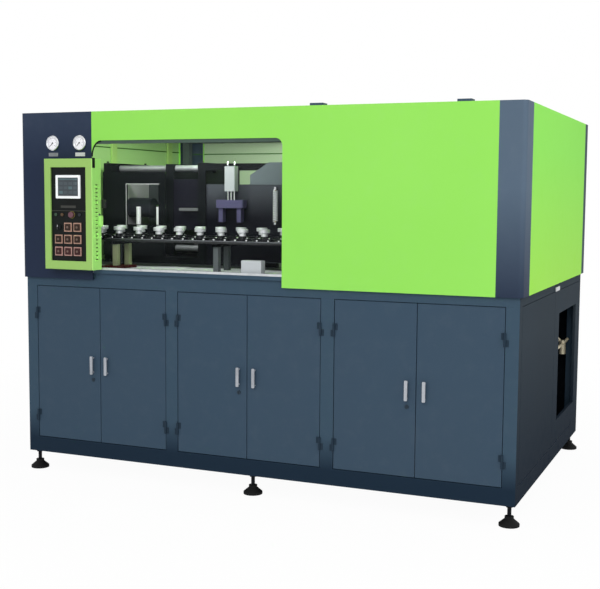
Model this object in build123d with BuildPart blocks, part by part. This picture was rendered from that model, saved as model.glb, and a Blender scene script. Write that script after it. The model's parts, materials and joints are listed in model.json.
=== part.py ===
"""A blow moulding machine: a cabinet on levelling feet with a guarded work space above it.

Lengths are in millimetres. +X runs along the machine to the right, +Y to the back and +Z up.
The origin is on the floor, under the middle of the whole machine with its control pod.
"""

import os
from math import cos, pi, radians, sin

from build123d import *

os.makedirs("parts", exist_ok=True)

# Cabinet
base_width = 2770
base_depth = 1830
base_low = 105
table_top = 1150
table_thickness = 20
cabinet_shift = 50
corner_post = 65
middle_post = 70
post_depth = 60
low_rail = 85
high_rail = 80
tube_wall = 3
left_bay = 825
middle_bay = 818
side_post = 60
side_post_place = 920

# Doors and panels of the cabinet
door_thickness = 20
panel_depth = 15
sheet = 2
gap = 3
edge_break = 1.5
handle_height = 100
handle_width = 16
handle_thickness = 7
handle_reach = 18
handle_post_radius = 4.5
handle_post_inset = 11
handle_from_split = 45
handle_above_rail = 432
lock_radius = 10
lock_proud = 5
lock_below_handle = 32
hinge_height = 65
hinge_radius = 6
hinge_stand = 6.5
hinge_leaf = 18
hinge_leaf_thickness = 2.5
hinge_pin_radius = 2.5
hinge_pin_fit = 0.1
hinge_pin_length = 22
hinge_bore_depth = 26
hinge_clearance = 0.4
hinge_above_rail = 93
hinge_below_rail = 122
service_from_post = 105
service_from_back = 155
service_above_rail = 126
service_below_rail = 132

# Levelling feet
foot_radius = 50
foot_height = 48
foot_neck = 22
foot_rim = 12
foot_shoulder = 36
stem_radius = 10
nut_radius = 19
nut_height = 14
foot_inset_x = 35
foot_inset_y = 45

# Hood over the work space
hood_side_stand = 15
hood_front_stand = 20
hood_skirt = 55
hood_height = 850
guard_post = 50
guard_rail = 60
roof_depth = 20
fold_radius = 25
corner_front = 128
corner_side = 150
rear_proud = 15
rear_corner_side = 115
rear_lip = 25
front_left_width = 463
bracket_height = 12
bracket_width = 68
bracket_depth = 62
bracket_from_front = 2
brackets_from_right = (1035, 294)

# Window and sliding guard door
window_width = 1123
window_head = 155
window_arch_width = 60
window_arch_height = 85
window_corner = 40
guard_sheet = 5
guard_from_skin = 9
guard_overlap = 14
guard_clearance = 0.3
track_from_skin = 1
track_width = 15
track_lip = 12
track_wall = 2
track_above_guard = 6
guard_from_end = 3
grip_width = 24
grip_height = 46
grip_proud = 16
grip_from_pod = 6
grip_above_table = 356

# Control pod
pod_width = 307
pod_depth = 85
pod_below_gauge = 87
pod_below_buttons = 98
pod_overlap = 57
pod_sheet = 2.5
pod_side_rim = 41
pod_end_rim = 46
fascia_recess = 10
fascia_thickness = 4
fascia_split = 2
slot_count = 20
slot_pitch = 21
slot_length = 20
slot_height = 5
slot_from_front = 32
screen_width = 156
screen_height = 125
screen_frame = 13
screen_proud = 8
screen_from_top = 52
screen_off_middle = 2
button_size = 34
buttons_off_middle = 6
button_pitch_x = 60
button_pitch_z = 65
button_travel = 4
button_proud = 7
button_stem = 28
button_fit = 0.4
bezel_size = 48
bezel_height = 6
buttons_below_controls = 67
knob_radius = 13
knob_height = 16
knob_stem = 5
stop_radius = 16
stop_height = 12
stop_stem = 8
stop_travel = 5
stop_from_column = 24
seam_above_stop = 4
lamp_radius = 9
lamp_proud = 7
lamp_edge = 2
lamp_offsets = (-18, 22)
key_from_column = 14
controls_from_top = 300

# Pressure gauges
gauge_radius = 41
gauge_bezel = 12
gauge_body_radius = 37
gauge_body_depth = 34
gauge_face_recess = 5
gauge_fit = 1
gauge_from_top = 166
gauge_pitch = 174
gauge_from_edge = 216
needle_length = 27
needle_width = 4
needle_hub = 4
needle_shaft = 1.5
needle_fit = 0.1
needle_seat = 4
needle_thickness = 1
needle_lift = 0.8
needle_zero = 135

# Conveyor
pitch = 127
run_pitches = 15
turn_pitches = 3
chain_middle = 4
run_from_front = 165
rail_lift = 166
rail_height = 16
rail_width = 12
rail_spread = 22
rail_setback = 80
carrier_gap = 23
carrier_width = 44
carrier_thickness = 9
carrier_corner = 14
link_width = 26
link_thickness = 6
link_gap = 35
carrier_lift = 0.3
spindle_across = 20
spindle_foot = 13
neck_across = 28
neck_height = 36
collar_radius = 30
collar_height = 19
leg_size = 30
beam_height = 18
leg_from_turn = 43.5
leg_step = 630
leg_in_oven = 25
wheel_thickness = 11
wheel_lift = 3
wheel_in_pitch = 4.3
wheel_pocket = 13
shaft_radius = 15

# Clamp unit
clamp_from_left = 122
clamp_length = 694
clamp_from_front = 615
clamp_depth = 450
clamp_plate = 50
clamp_slab = 40
clamp_height = 595
cover_thickness = 12
cover_length = 430
cover_open_from_right = 42
cover_open_width = 220
cover_open_above_slab = 190
cover_open_height = 238
cover_below_bars = 5
pillar_from_front = 25
mould_travel = 150
tie_radius = 18
tie_inset_y = 110
tie_inset_z = 30
tie_low = 90
tie_clearance = 0.2
tie_nut_radius = 30
tie_nut_height = 22
platen_thickness = 50
platen_inset = 70
platen_lift = 10
mould_length = 102
mould_depth = 300
mould_low_lift = 200
mould_head = 95
cavity_radius = 32
cavity_height = 190
cavity_neck = 14
cavity_neck_height = 40
cylinder_radius = 60
cylinder_length = 168
rod_radius = 20
rod_clearance = 0.2
rod_bite = 8
manifold_reach = 38
manifold_from_front = 25
manifold_depth = 35
manifold_above_slab = 274
manifold_height = 16
pillar_radius = 14
pillar_height = 295
pillars_from_left = (228, 366)

# Stretch unit under the clamp
stretch_rod = 7
stretch_rod_hole = 12
stretch_below_table = 10
stretch_travel = 230
stretch_plate_below_table = 365
stretch_plate = 25
stretch_width = 240
stretch_depth = 190
guide_radius = 12.5
guide_spread = 95
guide_below_table = 450
guide_foot = 20
lift_radius = 31.5
lift_rod = 10
lift_below_table = 775

# Transfer gantry
head_from_clamp = 181
gantry_beam = 40
gantry_drop = 45
gantry_length = 454
transfer_panel = 6
transfer_panel_height = 470
transfer_panel_inset = 12
head_body_width = 66
head_body_depth = 50
head_body_height = 142
head_grip = 22
head_rod = 6
head_rod_spread = 20
head_rod_length = 49
head_block_width = 172
head_block_depth = 60
head_block_height = 47
jaw_width = 26
jaw_depth = 42
jaw_height = 80
jaw_spread = 58
head_travel = 60

# Oven
oven_length = 505
oven_from_turn = 121.5
oven_wall = 30
oven_gap = 92
oven_height = 330
oven_lamp = 7
oven_lamp_count = 5
oven_lamp_pitch = 45
lamp_holder = 8
hood_plate_overlap = 140
hood_plate_from_turn = 26.5
hood_plate_slope = 115
hood_plate_step = 71
hood_plate_lift = 30
hood_plate_below_rail = 177
hood_plate_from_front = 560
hood_plate_thickness = 40
hood_leg = 50

# Coiled air hose and junction box
coil_radius = 15
coil_above_edge = 240
coil_height = 160
coil_from_edge = 165
hose_radius = 4
hose_fitting = 14
hose_stub = 18
box_width = 113
box_depth = 50
box_height = 75
box_from_window = 239

# Services inside the cabinet
tank_radius = 160
tank_height = 560
tank_crown = 50
tank_foot = 70
tank_boss = 12
tank_boss_radius = 14
tank_dish = 112
tank_dish_rise = 16
tank_leg = 36
tank_legs = 4
tank_from_right = 330
tank_from_back = 425
valve_above_tank_foot = 400
valve_body = 19
valve_bowl = 60
valve_cap = 24
valve_branch = 50
valve_lean = 40
valve_arm = 9
valve_reach = 78
valve_run = 322
rail_pitch = 250
cabinet_box_width = 520
cabinet_box_depth = 260
cabinet_box_height = 640
cabinet_box_lip = 12

# Places worked out from the sizes above
base_right = base_width / 2
base_left = -base_right
base_front = cabinet_shift - base_depth / 2
base_back = cabinet_shift + base_depth / 2
table_low = table_top - table_thickness
door_low = base_low + low_rail
door_high = table_low - high_rail
hood_right = base_right + hood_side_stand
hood_left = -hood_right
hood_front = base_front - hood_front_stand
hood_back = base_back + hood_front_stand
hood_low = table_top - hood_skirt
hood_top = table_top + hood_height
frame_top = hood_top - roof_depth
rail_low = frame_top - guard_rail
bays = (
    (base_left + corner_post, base_left + corner_post + left_bay),
    (
        base_left + corner_post + left_bay + middle_post,
        base_left + corner_post + left_bay + middle_post + middle_bay,
    ),
    (
        base_left + corner_post + left_bay + 2 * middle_post + middle_bay,
        base_right - corner_post,
    ),
)
post_places = (bays[0][1] + middle_post / 2, bays[1][1] + middle_post / 2)
side_post_front = base_front + side_post_place
window_left = hood_left + front_left_width
window_right = window_left + window_width
window_top = hood_top - window_head
skin_left = window_left
skin_right = hood_right - corner_front
track_front = hood_front + sheet + track_from_skin
track_left = skin_left + 2 * sheet
track_right = skin_right - 2 * sheet - track_from_skin
gauge_xs = (hood_left + gauge_from_edge, hood_left + gauge_from_edge + gauge_pitch)
gauge_middle = hood_top - gauge_from_top
pod_high = gauge_middle - pod_below_gauge
control_row = pod_high - controls_from_top
button_row_high = control_row - buttons_below_controls
button_rows = [button_row_high - step * button_pitch_z for step in (2, 1, 0)]
pod_low = button_rows[0] - pod_below_buttons
pod_height = pod_high - pod_low
rail_top = table_top + rail_lift
turn_radius = pitch * turn_pitches / pi
first_tangent = chain_middle - run_pitches * pitch / 2
last_tangent = first_tangent + run_pitches * pitch
oven_right = last_tangent - oven_from_turn
oven_left = oven_right - oven_length
clamp_left = hood_left + clamp_from_left
clamp_right = clamp_left + clamp_length
gantry_right = clamp_right + gantry_length
RIGHT = (1, 0, 0)
LEFT = (-1, 0, 0)
BACK = (0, 1, 0)
UP = (0, 0, 1)


# Helpers


def front_plane(x, y, z):
    """A plane that faces the front, with its own up along Z."""
    return Plane(origin=(x, y, z), x_dir=(1, 0, 0), z_dir=(0, -1, 0))


def back_plane(x, y, z):
    return Plane(origin=(x, y, z), x_dir=(-1, 0, 0), z_dir=(0, 1, 0))


def right_plane(x, y, z):
    return Plane(origin=(x, y, z), x_dir=(0, 1, 0), z_dir=(1, 0, 0))


def left_plane(x, y, z):
    return Plane(origin=(x, y, z), x_dir=(0, -1, 0), z_dir=(-1, 0, 0))


def floor_plane(x, y, z):
    return Plane(origin=(x, y, z), x_dir=(1, 0, 0), z_dir=(0, 0, 1))


def plate(x_span, y_span, z_span):
    """A flat rectangular piece between three pairs of faces."""
    middle_x = (x_span[0] + x_span[1]) / 2
    middle_y = (y_span[0] + y_span[1]) / 2
    with BuildPart() as piece:
        with BuildSketch(floor_plane(middle_x, middle_y, z_span[0])):
            Rectangle(x_span[1] - x_span[0], y_span[1] - y_span[0])
        extrude(amount=z_span[1] - z_span[0])
    return piece.part


def tube(start, along, across, length, width, height):
    """A rectangular tube from the middle of its first end, with its width along across."""
    with BuildPart() as piece:
        with BuildSketch(Plane(origin=start, x_dir=across, z_dir=along)):
            Rectangle(width, height)
            Rectangle(width - 2 * tube_wall, height - 2 * tube_wall, mode=Mode.SUBTRACT)
        extrude(amount=length)
    return piece.part


def end_cap(place, along, across, width, height):
    """A plate welded inside the end of a tube, flush with its mouth."""
    with BuildPart() as piece:
        with BuildSketch(Plane(origin=place, x_dir=across, z_dir=along)):
            Rectangle(width - 2 * tube_wall, height - 2 * tube_wall)
        extrude(amount=-tube_wall)
    return piece.part


def rod(plane, radius, length):
    """A round bar that stands on a plane."""
    with BuildPart() as piece:
        with BuildSketch(plane):
            Circle(radius)
        extrude(amount=length)
    return piece.part


def folded_pan(plane, width, height, depth):
    """A sheet panel with four edges folded back, whose outer face is centred on the plane."""
    with BuildPart() as piece:
        with BuildSketch(plane):
            Rectangle(width, height)
        extrude(amount=-depth)
        with BuildSketch(plane.offset(-sheet)):
            Rectangle(width - 2 * sheet, height - 2 * sheet)
        extrude(amount=-(depth - sheet), mode=Mode.SUBTRACT)
    return piece.part


def corner_sheet(corner_x, corner_y, run_x, run_y, off_x, off_y):
    """A sheet folded round a corner of the hood, with lips that land on the frame behind it."""
    into_x = -1 if corner_x > 0 else 1
    into_y = -1 if corner_y > 0 else 1
    height = hood_top - hood_low
    with BuildPart() as piece:
        with BuildSketch(Plane.XY.offset(hood_low)) as outside:
            with Locations((corner_x + into_x * run_x / 2, corner_y + into_y * run_y / 2)):
                Rectangle(run_x, run_y)
            fillet(outside.vertices().sort_by_distance((corner_x, corner_y, 0))[0], fold_radius)
        extrude(amount=height)
        inner_x = corner_x + into_x * sheet
        inner_y = corner_y + into_y * sheet
        with BuildSketch(Plane.XY.offset(hood_low + sheet)) as inside:
            with Locations((inner_x + into_x * run_x / 2, inner_y + into_y * run_y / 2)):
                Rectangle(run_x, run_y)
            fillet(inside.vertices().sort_by_distance((inner_x, inner_y, 0))[0], fold_radius - sheet)
        extrude(amount=height - 2 * sheet, mode=Mode.SUBTRACT)
        frame_x = corner_x + into_x * off_x
        frame_y = corner_y + into_y * off_y
        with BuildSketch(Plane.XY.offset(hood_low)):
            with Locations((frame_x + into_x * run_x / 2, frame_y + into_y * run_y / 2)):
                Rectangle(run_x, run_y)
        extrude(amount=height, mode=Mode.SUBTRACT)
    return piece.part


def write_group(name, pieces):
    """Writes pieces that stay separate solids as one node."""
    solids = [solid for piece in pieces for solid in piece.solids()]
    node = Compound(solids, label=name)
    export_step(node, f"parts/{name}.step")


# Cabinet frame: posts between bottom and top rails, with cradle rails for what stands inside

frame_pieces = []
post_height = door_high - door_low
front_middle = base_front + post_depth / 2
back_middle = base_back - post_depth / 2
low_middle = base_low + low_rail / 2
high_middle = door_high + high_rail / 2
for row in (front_middle, back_middle):
    for x, width in (
        (base_left + corner_post / 2, corner_post),
        (post_places[0], middle_post),
        (post_places[1], middle_post),
        (base_right - corner_post / 2, corner_post),
    ):
        frame_pieces.append(tube((x, row, door_low), UP, RIGHT, post_height, width, post_depth))
    for z, height in ((low_middle, low_rail), (high_middle, high_rail)):
        frame_pieces.append(tube((base_left, row, z), RIGHT, BACK, base_width, post_depth, height))
        frame_pieces.append(end_cap((base_right, row, z), RIGHT, BACK, post_depth, height))
        frame_pieces.append(end_cap((base_left, row, z), LEFT, BACK, post_depth, height))
cross_start = base_front + post_depth
cross_length = base_depth - 2 * post_depth
side_rail_x = base_right - corner_post / 2
cross_places = (-side_rail_x, post_places[0], post_places[1], side_rail_x)
cross_widths = (corner_post, middle_post, middle_post, corner_post)
for x, width in zip(cross_places, cross_widths):
    for z, height in ((low_middle, low_rail), (high_middle, high_rail)):
        frame_pieces.append(tube((x, cross_start, z), BACK, RIGHT, cross_length, width, height))
side_tube = corner_post - panel_depth
for x in (base_left + panel_depth + side_tube / 2, base_right - panel_depth - side_tube / 2):
    place = (x, side_post_front + side_post / 2, door_low)
    frame_pieces.append(tube(place, UP, RIGHT, post_height, side_tube, side_post))
tank_x = base_right - tank_from_right
tank_y = base_back - tank_from_back
cabinet_y = tank_y
right_cradle = (post_places[1] + middle_post / 2, base_right - corner_post)
left_cradle = (base_left + corner_post, post_places[0] - middle_post / 2)
for start, end in (left_cradle, right_cradle):
    for y in (tank_y - rail_pitch / 2, tank_y + rail_pitch / 2):
        place = (start, y, low_middle)
        frame_pieces.append(tube(place, RIGHT, BACK, end - start, post_depth, low_rail))
write_group("base_frame", frame_pieces)

# Table plate, with bores under the mould for the stretch rods and slots for the wheel shafts

front_run = base_front + run_from_front
back_run = front_run + 2 * turn_radius
loop_middle = front_run + turn_radius
clamp_front = base_front + clamp_from_front
clamp_back = clamp_front + clamp_depth
mould_x = clamp_right - clamp_plate - mould_length
mould_y = (clamp_front + clamp_back) / 2
mould_row = [(mould_x, mould_y - pitch / 2), (mould_x, mould_y + pitch / 2)]
ledge_x = (track_left + track_right) / 2
ledge_y = (track_front + base_front) / 2
with BuildPart() as table_plate:
    with BuildSketch(floor_plane(0, cabinet_shift, table_low)):
        Rectangle(base_width, base_depth)
    extrude(amount=table_thickness)
    with BuildSketch(floor_plane(ledge_x, ledge_y, table_low)):
        Rectangle(track_right - track_left, base_front - track_front)
    extrude(amount=table_thickness)
    with BuildSketch(Plane.XY.offset(table_low)):
        with Locations(*mould_row):
            Circle(stretch_rod_hole)
    extrude(amount=table_thickness, mode=Mode.SUBTRACT)
table_plate.part.label = "table_plate"
export_step(table_plate.part, "parts/table_plate.step")

# Levelling feet: a bell pad, a threaded stem and a lock nut under the frame

feet = []
for x in (base_left + foot_inset_x, 0, base_right - foot_inset_x):
    for y in (base_front + foot_inset_y, base_back - foot_inset_y):
        with BuildPart() as pad:
            with BuildSketch(Plane(origin=(x, y, 0), x_dir=RIGHT, z_dir=(0, -1, 0))):
                with BuildLine():
                    Polyline(
                        (0, 0),
                        (foot_radius, 0),
                        (foot_radius, foot_rim),
                        (foot_neck, foot_shoulder),
                        (foot_neck, foot_height),
                        (0, foot_height),
                        close=True,
                    )
                make_face()
            revolve(axis=Axis((x, y, 0), UP))
        stem = rod(floor_plane(x, y, foot_height), stem_radius, base_low - foot_height)
        with BuildPart() as nut:
            with BuildSketch(floor_plane(x, y, base_low - nut_height)):
                RegularPolygon(nut_radius, 6)
                Circle(stem_radius, mode=Mode.SUBTRACT)
            extrude(amount=nut_height)
        feet += [pad.part, stem, nut.part]
write_group("levelling_feet", feet)

# Cabinet doors, each with its bar handle on two posts, a lock and the upper hinge knuckles


def hinge_half(axis_x, toward, low, upper):
    """One half of a hinge: a leaf plate on the front face and its knuckle, bored if it is upper."""
    half = hinge_height / 2 - hinge_clearance / 2
    axis_y = base_front - hinge_stand
    with BuildPart() as piece:
        leaf_x = axis_x + toward * hinge_leaf / 2
        with BuildSketch(floor_plane(leaf_x, base_front - hinge_leaf_thickness / 2, low)):
            Rectangle(hinge_leaf, hinge_leaf_thickness)
        with BuildSketch(floor_plane(axis_x, axis_y, low)):
            Circle(hinge_radius)
        extrude(amount=half)
        if upper:
            with BuildSketch(floor_plane(axis_x, axis_y, low)):
                Circle(hinge_pin_radius + hinge_pin_fit)
            extrude(amount=hinge_bore_depth, mode=Mode.SUBTRACT)
        else:
            with BuildSketch(floor_plane(axis_x, axis_y, low + half)):
                Circle(hinge_pin_radius)
            extrude(amount=hinge_pin_length)
    return piece.part


fixed_hinges = []
for number, (bay_left, bay_right) in enumerate(bays, 1):
    split = (bay_left + bay_right) / 2
    for side, hinge_edge, toward in (("left", bay_left, 1), ("right", bay_right, -1)):
        outer = hinge_edge + toward * gap
        inner = split - toward * gap / 2
        leaf_middle = (outer + inner) / 2
        leaf_height = post_height - 2 * gap
        face = front_plane(leaf_middle, base_front, (door_low + door_high) / 2)
        with BuildPart() as leaf:
            with BuildSketch(face):
                Rectangle(abs(inner - outer), leaf_height)
            extrude(amount=-door_thickness)
            chamfer(leaf.faces().sort_by(Axis.Y)[0].edges(), edge_break)
            with BuildSketch(face.offset(-sheet)):
                Rectangle(abs(inner - outer) - 2 * sheet, leaf_height - 2 * sheet)
            extrude(amount=-(door_thickness - sheet), mode=Mode.SUBTRACT)
        handle_x = split - toward * handle_from_split
        handle_middle = door_low + handle_above_rail
        bar_plane = front_plane(handle_x, base_front - handle_reach, handle_middle)
        with BuildPart() as bar:
            with BuildSketch(bar_plane):
                RectangleRounded(handle_width, handle_height, handle_width / 4)
            extrude(amount=handle_thickness)
        pieces = [leaf.part, bar.part]
        for reach in (-1, 1):
            post_z = handle_middle + reach * (handle_height / 2 - handle_post_inset)
            pieces.append(rod(front_plane(handle_x, base_front, post_z), handle_post_radius, handle_reach))
        if side == "left":
            lock_z = handle_middle - handle_height / 2 - lock_below_handle
            with BuildPart() as lock:
                with BuildSketch(front_plane(handle_x, base_front, lock_z)):
                    Circle(lock_radius)
                extrude(amount=lock_proud)
                with BuildSketch(front_plane(handle_x, base_front - lock_proud, lock_z)):
                    Rectangle(lock_radius / 5, lock_radius)
                extrude(amount=-lock_proud / 2, mode=Mode.SUBTRACT)
            pieces.append(lock.part)
        axis_x = hinge_edge + toward * gap / 2
        for low in (door_low + hinge_above_rail, door_high - hinge_below_rail - hinge_height):
            upper_low = low + hinge_height / 2 + hinge_clearance / 2
            pieces.append(hinge_half(axis_x, toward, upper_low, True))
            fixed_hinges.append(hinge_half(axis_x, -toward, low, False))
        write_group(f"door_{number}_{side}", pieces)
write_group("door_hinges", fixed_hinges)

# Side and rear panels of the cabinet, set flush in the frame

panel_z = (door_low + door_high) / 2
panel_height = post_height - 2 * gap
seam = side_post_front + side_post / 2
front_span = (base_front + post_depth + gap, seam - gap / 2)
back_span = (seam + gap / 2, base_back - post_depth - gap)
front_reach = front_span[1] - front_span[0]
back_reach = back_span[1] - back_span[0]
front_centre = sum(front_span) / 2
back_centre = sum(back_span) / 2
side_panels = [
    folded_pan(left_plane(base_left, front_centre, panel_z), front_reach, panel_height, panel_depth),
    folded_pan(left_plane(base_left, back_centre, panel_z), back_reach, panel_height, panel_depth),
    folded_pan(right_plane(base_right, front_centre, panel_z), front_reach, panel_height, panel_depth),
]
write_group("base_side_panels", side_panels)

service_front = side_post_front + side_post + service_from_post
service_back = base_back - service_from_back
service_width = service_back - service_front
service_height = post_height - service_above_rail - service_below_rail
service_y = (service_front + service_back) / 2
service_z = door_low + service_above_rail + service_height / 2
with BuildPart() as service_panel:
    add(folded_pan(right_plane(base_right, back_centre, panel_z), back_reach, panel_height, panel_depth))
    with BuildSketch(right_plane(base_right, service_y, service_z)):
        Rectangle(service_width, service_height)
    extrude(amount=-panel_depth, mode=Mode.SUBTRACT)
    with BuildSketch(right_plane(base_right - sheet, service_y, service_z)):
        Rectangle(service_width + 2 * sheet, service_height + 2 * sheet)
        Rectangle(service_width, service_height, mode=Mode.SUBTRACT)
    extrude(amount=-(panel_depth - sheet))
service_panel.part.label = "service_panel"
export_step(service_panel.part, "parts/service_panel.step")

rear_panels = []
for bay_left, bay_right in bays:
    rear_face = back_plane((bay_left + bay_right) / 2, base_back + panel_depth, panel_z)
    width = bay_right - bay_left + 2 * rear_lip
    rear_panels.append(folded_pan(rear_face, width, post_height + 2 * rear_lip, panel_depth))
write_group("rear_base_panels", rear_panels)

# Hood frame on the table: corner and middle posts under a ring of rails with two ties

guard_pieces = []
post_length = rail_low - table_top
middle_front_x = window_right + guard_post
left_front_x = sum(gauge_xs) / 2
corner_x = base_right - guard_post / 2
post_front_y = base_front + guard_post / 2
post_back_y = base_back - guard_post / 2
for x in (-corner_x, left_front_x, middle_front_x, corner_x):
    guard_pieces.append(tube((x, post_front_y, table_top), UP, RIGHT, post_length, guard_post, guard_post))
for x in (-corner_x, *post_places, corner_x):
    guard_pieces.append(tube((x, post_back_y, table_top), UP, RIGHT, post_length, guard_post, guard_post))
ring_z = rail_low + guard_rail / 2
for y in (post_front_y, post_back_y):
    guard_pieces.append(tube((base_left, y, ring_z), RIGHT, BACK, base_width, guard_post, guard_rail))
    guard_pieces.append(end_cap((base_right, y, ring_z), RIGHT, BACK, guard_post, guard_rail))
    guard_pieces.append(end_cap((base_left, y, ring_z), LEFT, BACK, guard_post, guard_rail))
tie_length = base_depth - 2 * guard_post
for x in (-corner_x, *post_places, corner_x):
    start = (x, base_front + guard_post, ring_z)
    guard_pieces.append(tube(start, BACK, RIGHT, tie_length, guard_post, guard_rail))
write_group("upper_frame", guard_pieces)

# Hood skins: slate corners and front left panel, green panels, roof and its two stop brackets

with BuildPart() as front_left_panel:
    corner = (hood_left, hood_front, front_left_width, corner_side)
    add(corner_sheet(*corner, hood_side_stand, hood_front_stand))
    with BuildSketch(front_plane(0, hood_front, gauge_middle)):
        with Locations(*[(x, 0) for x in gauge_xs]):
            Circle(gauge_body_radius + gauge_fit)
    extrude(amount=-sheet, mode=Mode.SUBTRACT)
front_left_panel.part.label = "front_left_panel"
export_step(front_left_panel.part, "parts/front_left_panel.step")

rear_skin_back = hood_back + rear_proud
rear_stand = rear_skin_back - base_back
corners = [
    corner_sheet(hood_right, hood_front, corner_front, corner_side, hood_side_stand, hood_front_stand),
    corner_sheet(hood_left, rear_skin_back, corner_side, rear_corner_side, hood_side_stand, rear_stand),
    corner_sheet(hood_right, rear_skin_back, corner_side, rear_corner_side, hood_side_stand, rear_stand),
]
write_group("corner_covers", corners)

lip = hood_front_stand - sheet
with BuildPart() as front_skin:
    with BuildSketch(front_plane((skin_left + skin_right) / 2, hood_front, (hood_low + hood_top) / 2)):
        Rectangle(skin_right - skin_left, hood_top - hood_low)
    extrude(amount=-sheet)
    with BuildSketch(front_plane(skin_left, hood_front, hood_low)):
        with BuildLine():
            right = window_right - skin_left
            top = window_top - hood_low
            Line((0, 0), (right, 0))
            Line((right, 0), (right, top - window_corner))
            TangentArc((right, top - window_corner), (right - window_corner, top), tangent=(0, 1))
            Line((right - window_corner, top), (window_arch_width, top))
            EllipticalCenterArc(
                (window_arch_width, top - window_arch_height),
                window_arch_width,
                window_arch_height,
                start_angle=90,
                arc_size=90,
            )
            Line((0, top - window_arch_height), (0, 0))
        make_face()
    extrude(amount=-sheet, mode=Mode.SUBTRACT)
    lip_face = front_plane(0, hood_front + sheet, 0)
    with BuildSketch(lip_face):
        with Locations(((skin_left + skin_right) / 2, hood_top - sheet / 2)):
            Rectangle(skin_right - skin_left, sheet)
        with Locations(((window_right + skin_right) / 2, hood_low + sheet / 2)):
            Rectangle(skin_right - window_right, sheet)
        with Locations((skin_right - sheet / 2, (hood_low + hood_top) / 2)):
            Rectangle(sheet, hood_top - hood_low)
        with Locations((skin_left + sheet / 2, (hood_top + window_top) / 2)):
            Rectangle(sheet, hood_top - window_top)
    extrude(amount=-lip)
front_skin.part.label = "front_skin"
export_step(front_skin.part, "parts/front_skin.step")

side_start = hood_front + corner_side
side_end = rear_skin_back - rear_corner_side
side_middle = (side_start + side_end) / 2
skin_middle = (hood_low + hood_top) / 2
skin_height = hood_top - hood_low
side_run = side_end - side_start
side_skins = [
    folded_pan(left_plane(hood_left, side_middle, skin_middle), side_run, skin_height, hood_side_stand),
    folded_pan(right_plane(hood_right, side_middle, skin_middle), side_run, skin_height, hood_side_stand),
]
write_group("side_skins", side_skins)

rear_run = 2 * (hood_right - corner_side) / 3
rear_skins = []
for step in (-1, 0, 1):
    place = back_plane(step * rear_run, hood_back, skin_middle)
    rear_skins.append(folded_pan(place, rear_run, skin_height, hood_front_stand))
write_group("rear_skins", rear_skins)

roof_run = base_width / 3
roof_pieces = []
for step in (-1, 0, 1):
    place = floor_plane(step * roof_run, cabinet_shift, hood_top)
    roof_pieces.append(folded_pan(place, roof_run, base_depth, roof_depth))
for from_right in brackets_from_right:
    x = hood_right - from_right
    span_x = (x - bracket_width / 2, x + bracket_width / 2)
    span_y = (hood_front + bracket_from_front, hood_front + bracket_from_front + bracket_depth)
    roof_pieces.append(plate(span_x, span_y, (hood_top, hood_top + bracket_height)))
write_group("roof_panels", roof_pieces)

# Sliding guard door of clear sheet, its grip, and the two tracks it runs in

guard_front = hood_front + guard_from_skin
guard_back = guard_front + guard_sheet
track_back = track_front + track_width
guard_left = track_left + guard_from_end
guard_right = window_right + guard_overlap
guard_low = table_top + track_wall + guard_clearance
guard_high = window_top + guard_overlap
track_top = guard_high + track_above_guard
profile_plane = right_plane(track_left, 0, 0)
with BuildPart() as low_track:
    with BuildSketch(profile_plane):
        with Locations(((track_front + track_back) / 2, table_top + track_lip / 2)):
            Rectangle(track_width, track_lip)
        with Locations(((track_front + track_back) / 2, table_top + track_wall + track_lip / 2)):
            Rectangle(track_width - 2 * track_wall, track_lip, mode=Mode.SUBTRACT)
    extrude(amount=track_right - track_left)
with BuildPart() as high_track:
    with BuildSketch(profile_plane):
        with Locations(((track_front + track_back) / 2, track_top - track_lip / 2)):
            Rectangle(track_width, track_lip)
        with Locations(((track_front + track_back) / 2, track_top - track_wall - track_lip / 2)):
            Rectangle(track_width - 2 * track_wall, track_lip, mode=Mode.SUBTRACT)
        web_top = rail_low + guard_rail / 2
        with Locations((base_front - track_wall / 2, (track_top - track_lip + web_top) / 2)):
            Rectangle(track_wall, web_top - track_top + track_lip)
        with Locations(((base_front + track_back) / 2 - track_wall / 2, track_top - track_wall / 2)):
            Rectangle(base_front - track_back + track_wall, track_wall)
    extrude(amount=track_right - track_left)
write_group("guard_tracks", [low_track.part, high_track.part])

with BuildPart() as guard_door:
    guard_middle = front_plane((guard_left + guard_right) / 2, guard_front, (guard_low + guard_high) / 2)
    with BuildSketch(guard_middle):
        Rectangle(guard_right - guard_left, guard_high - guard_low)
    extrude(amount=-guard_sheet)
guard_door.part.label = "guard_door"
export_step(guard_door.part, "parts/guard_door.step")

pod_right = window_left + pod_overlap
grip_x = pod_right + grip_from_pod + grip_width / 2
grip_middle = table_top + grip_above_table
with BuildPart() as guard_grip:
    with BuildSketch(front_plane(grip_x, guard_front, grip_middle)):
        RectangleRounded(grip_width, grip_height, grip_width / 4)
    extrude(amount=grip_proud)
    chamfer(guard_grip.faces().sort_by(Axis.Y)[0].edges(), grip_width / 12)
guard_grip.part.label = "guard_grip"
export_step(guard_grip.part, "parts/guard_grip.step")

# Control pod: a sheet box with a rimmed opening, slots in its side and a black fascia inside

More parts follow.
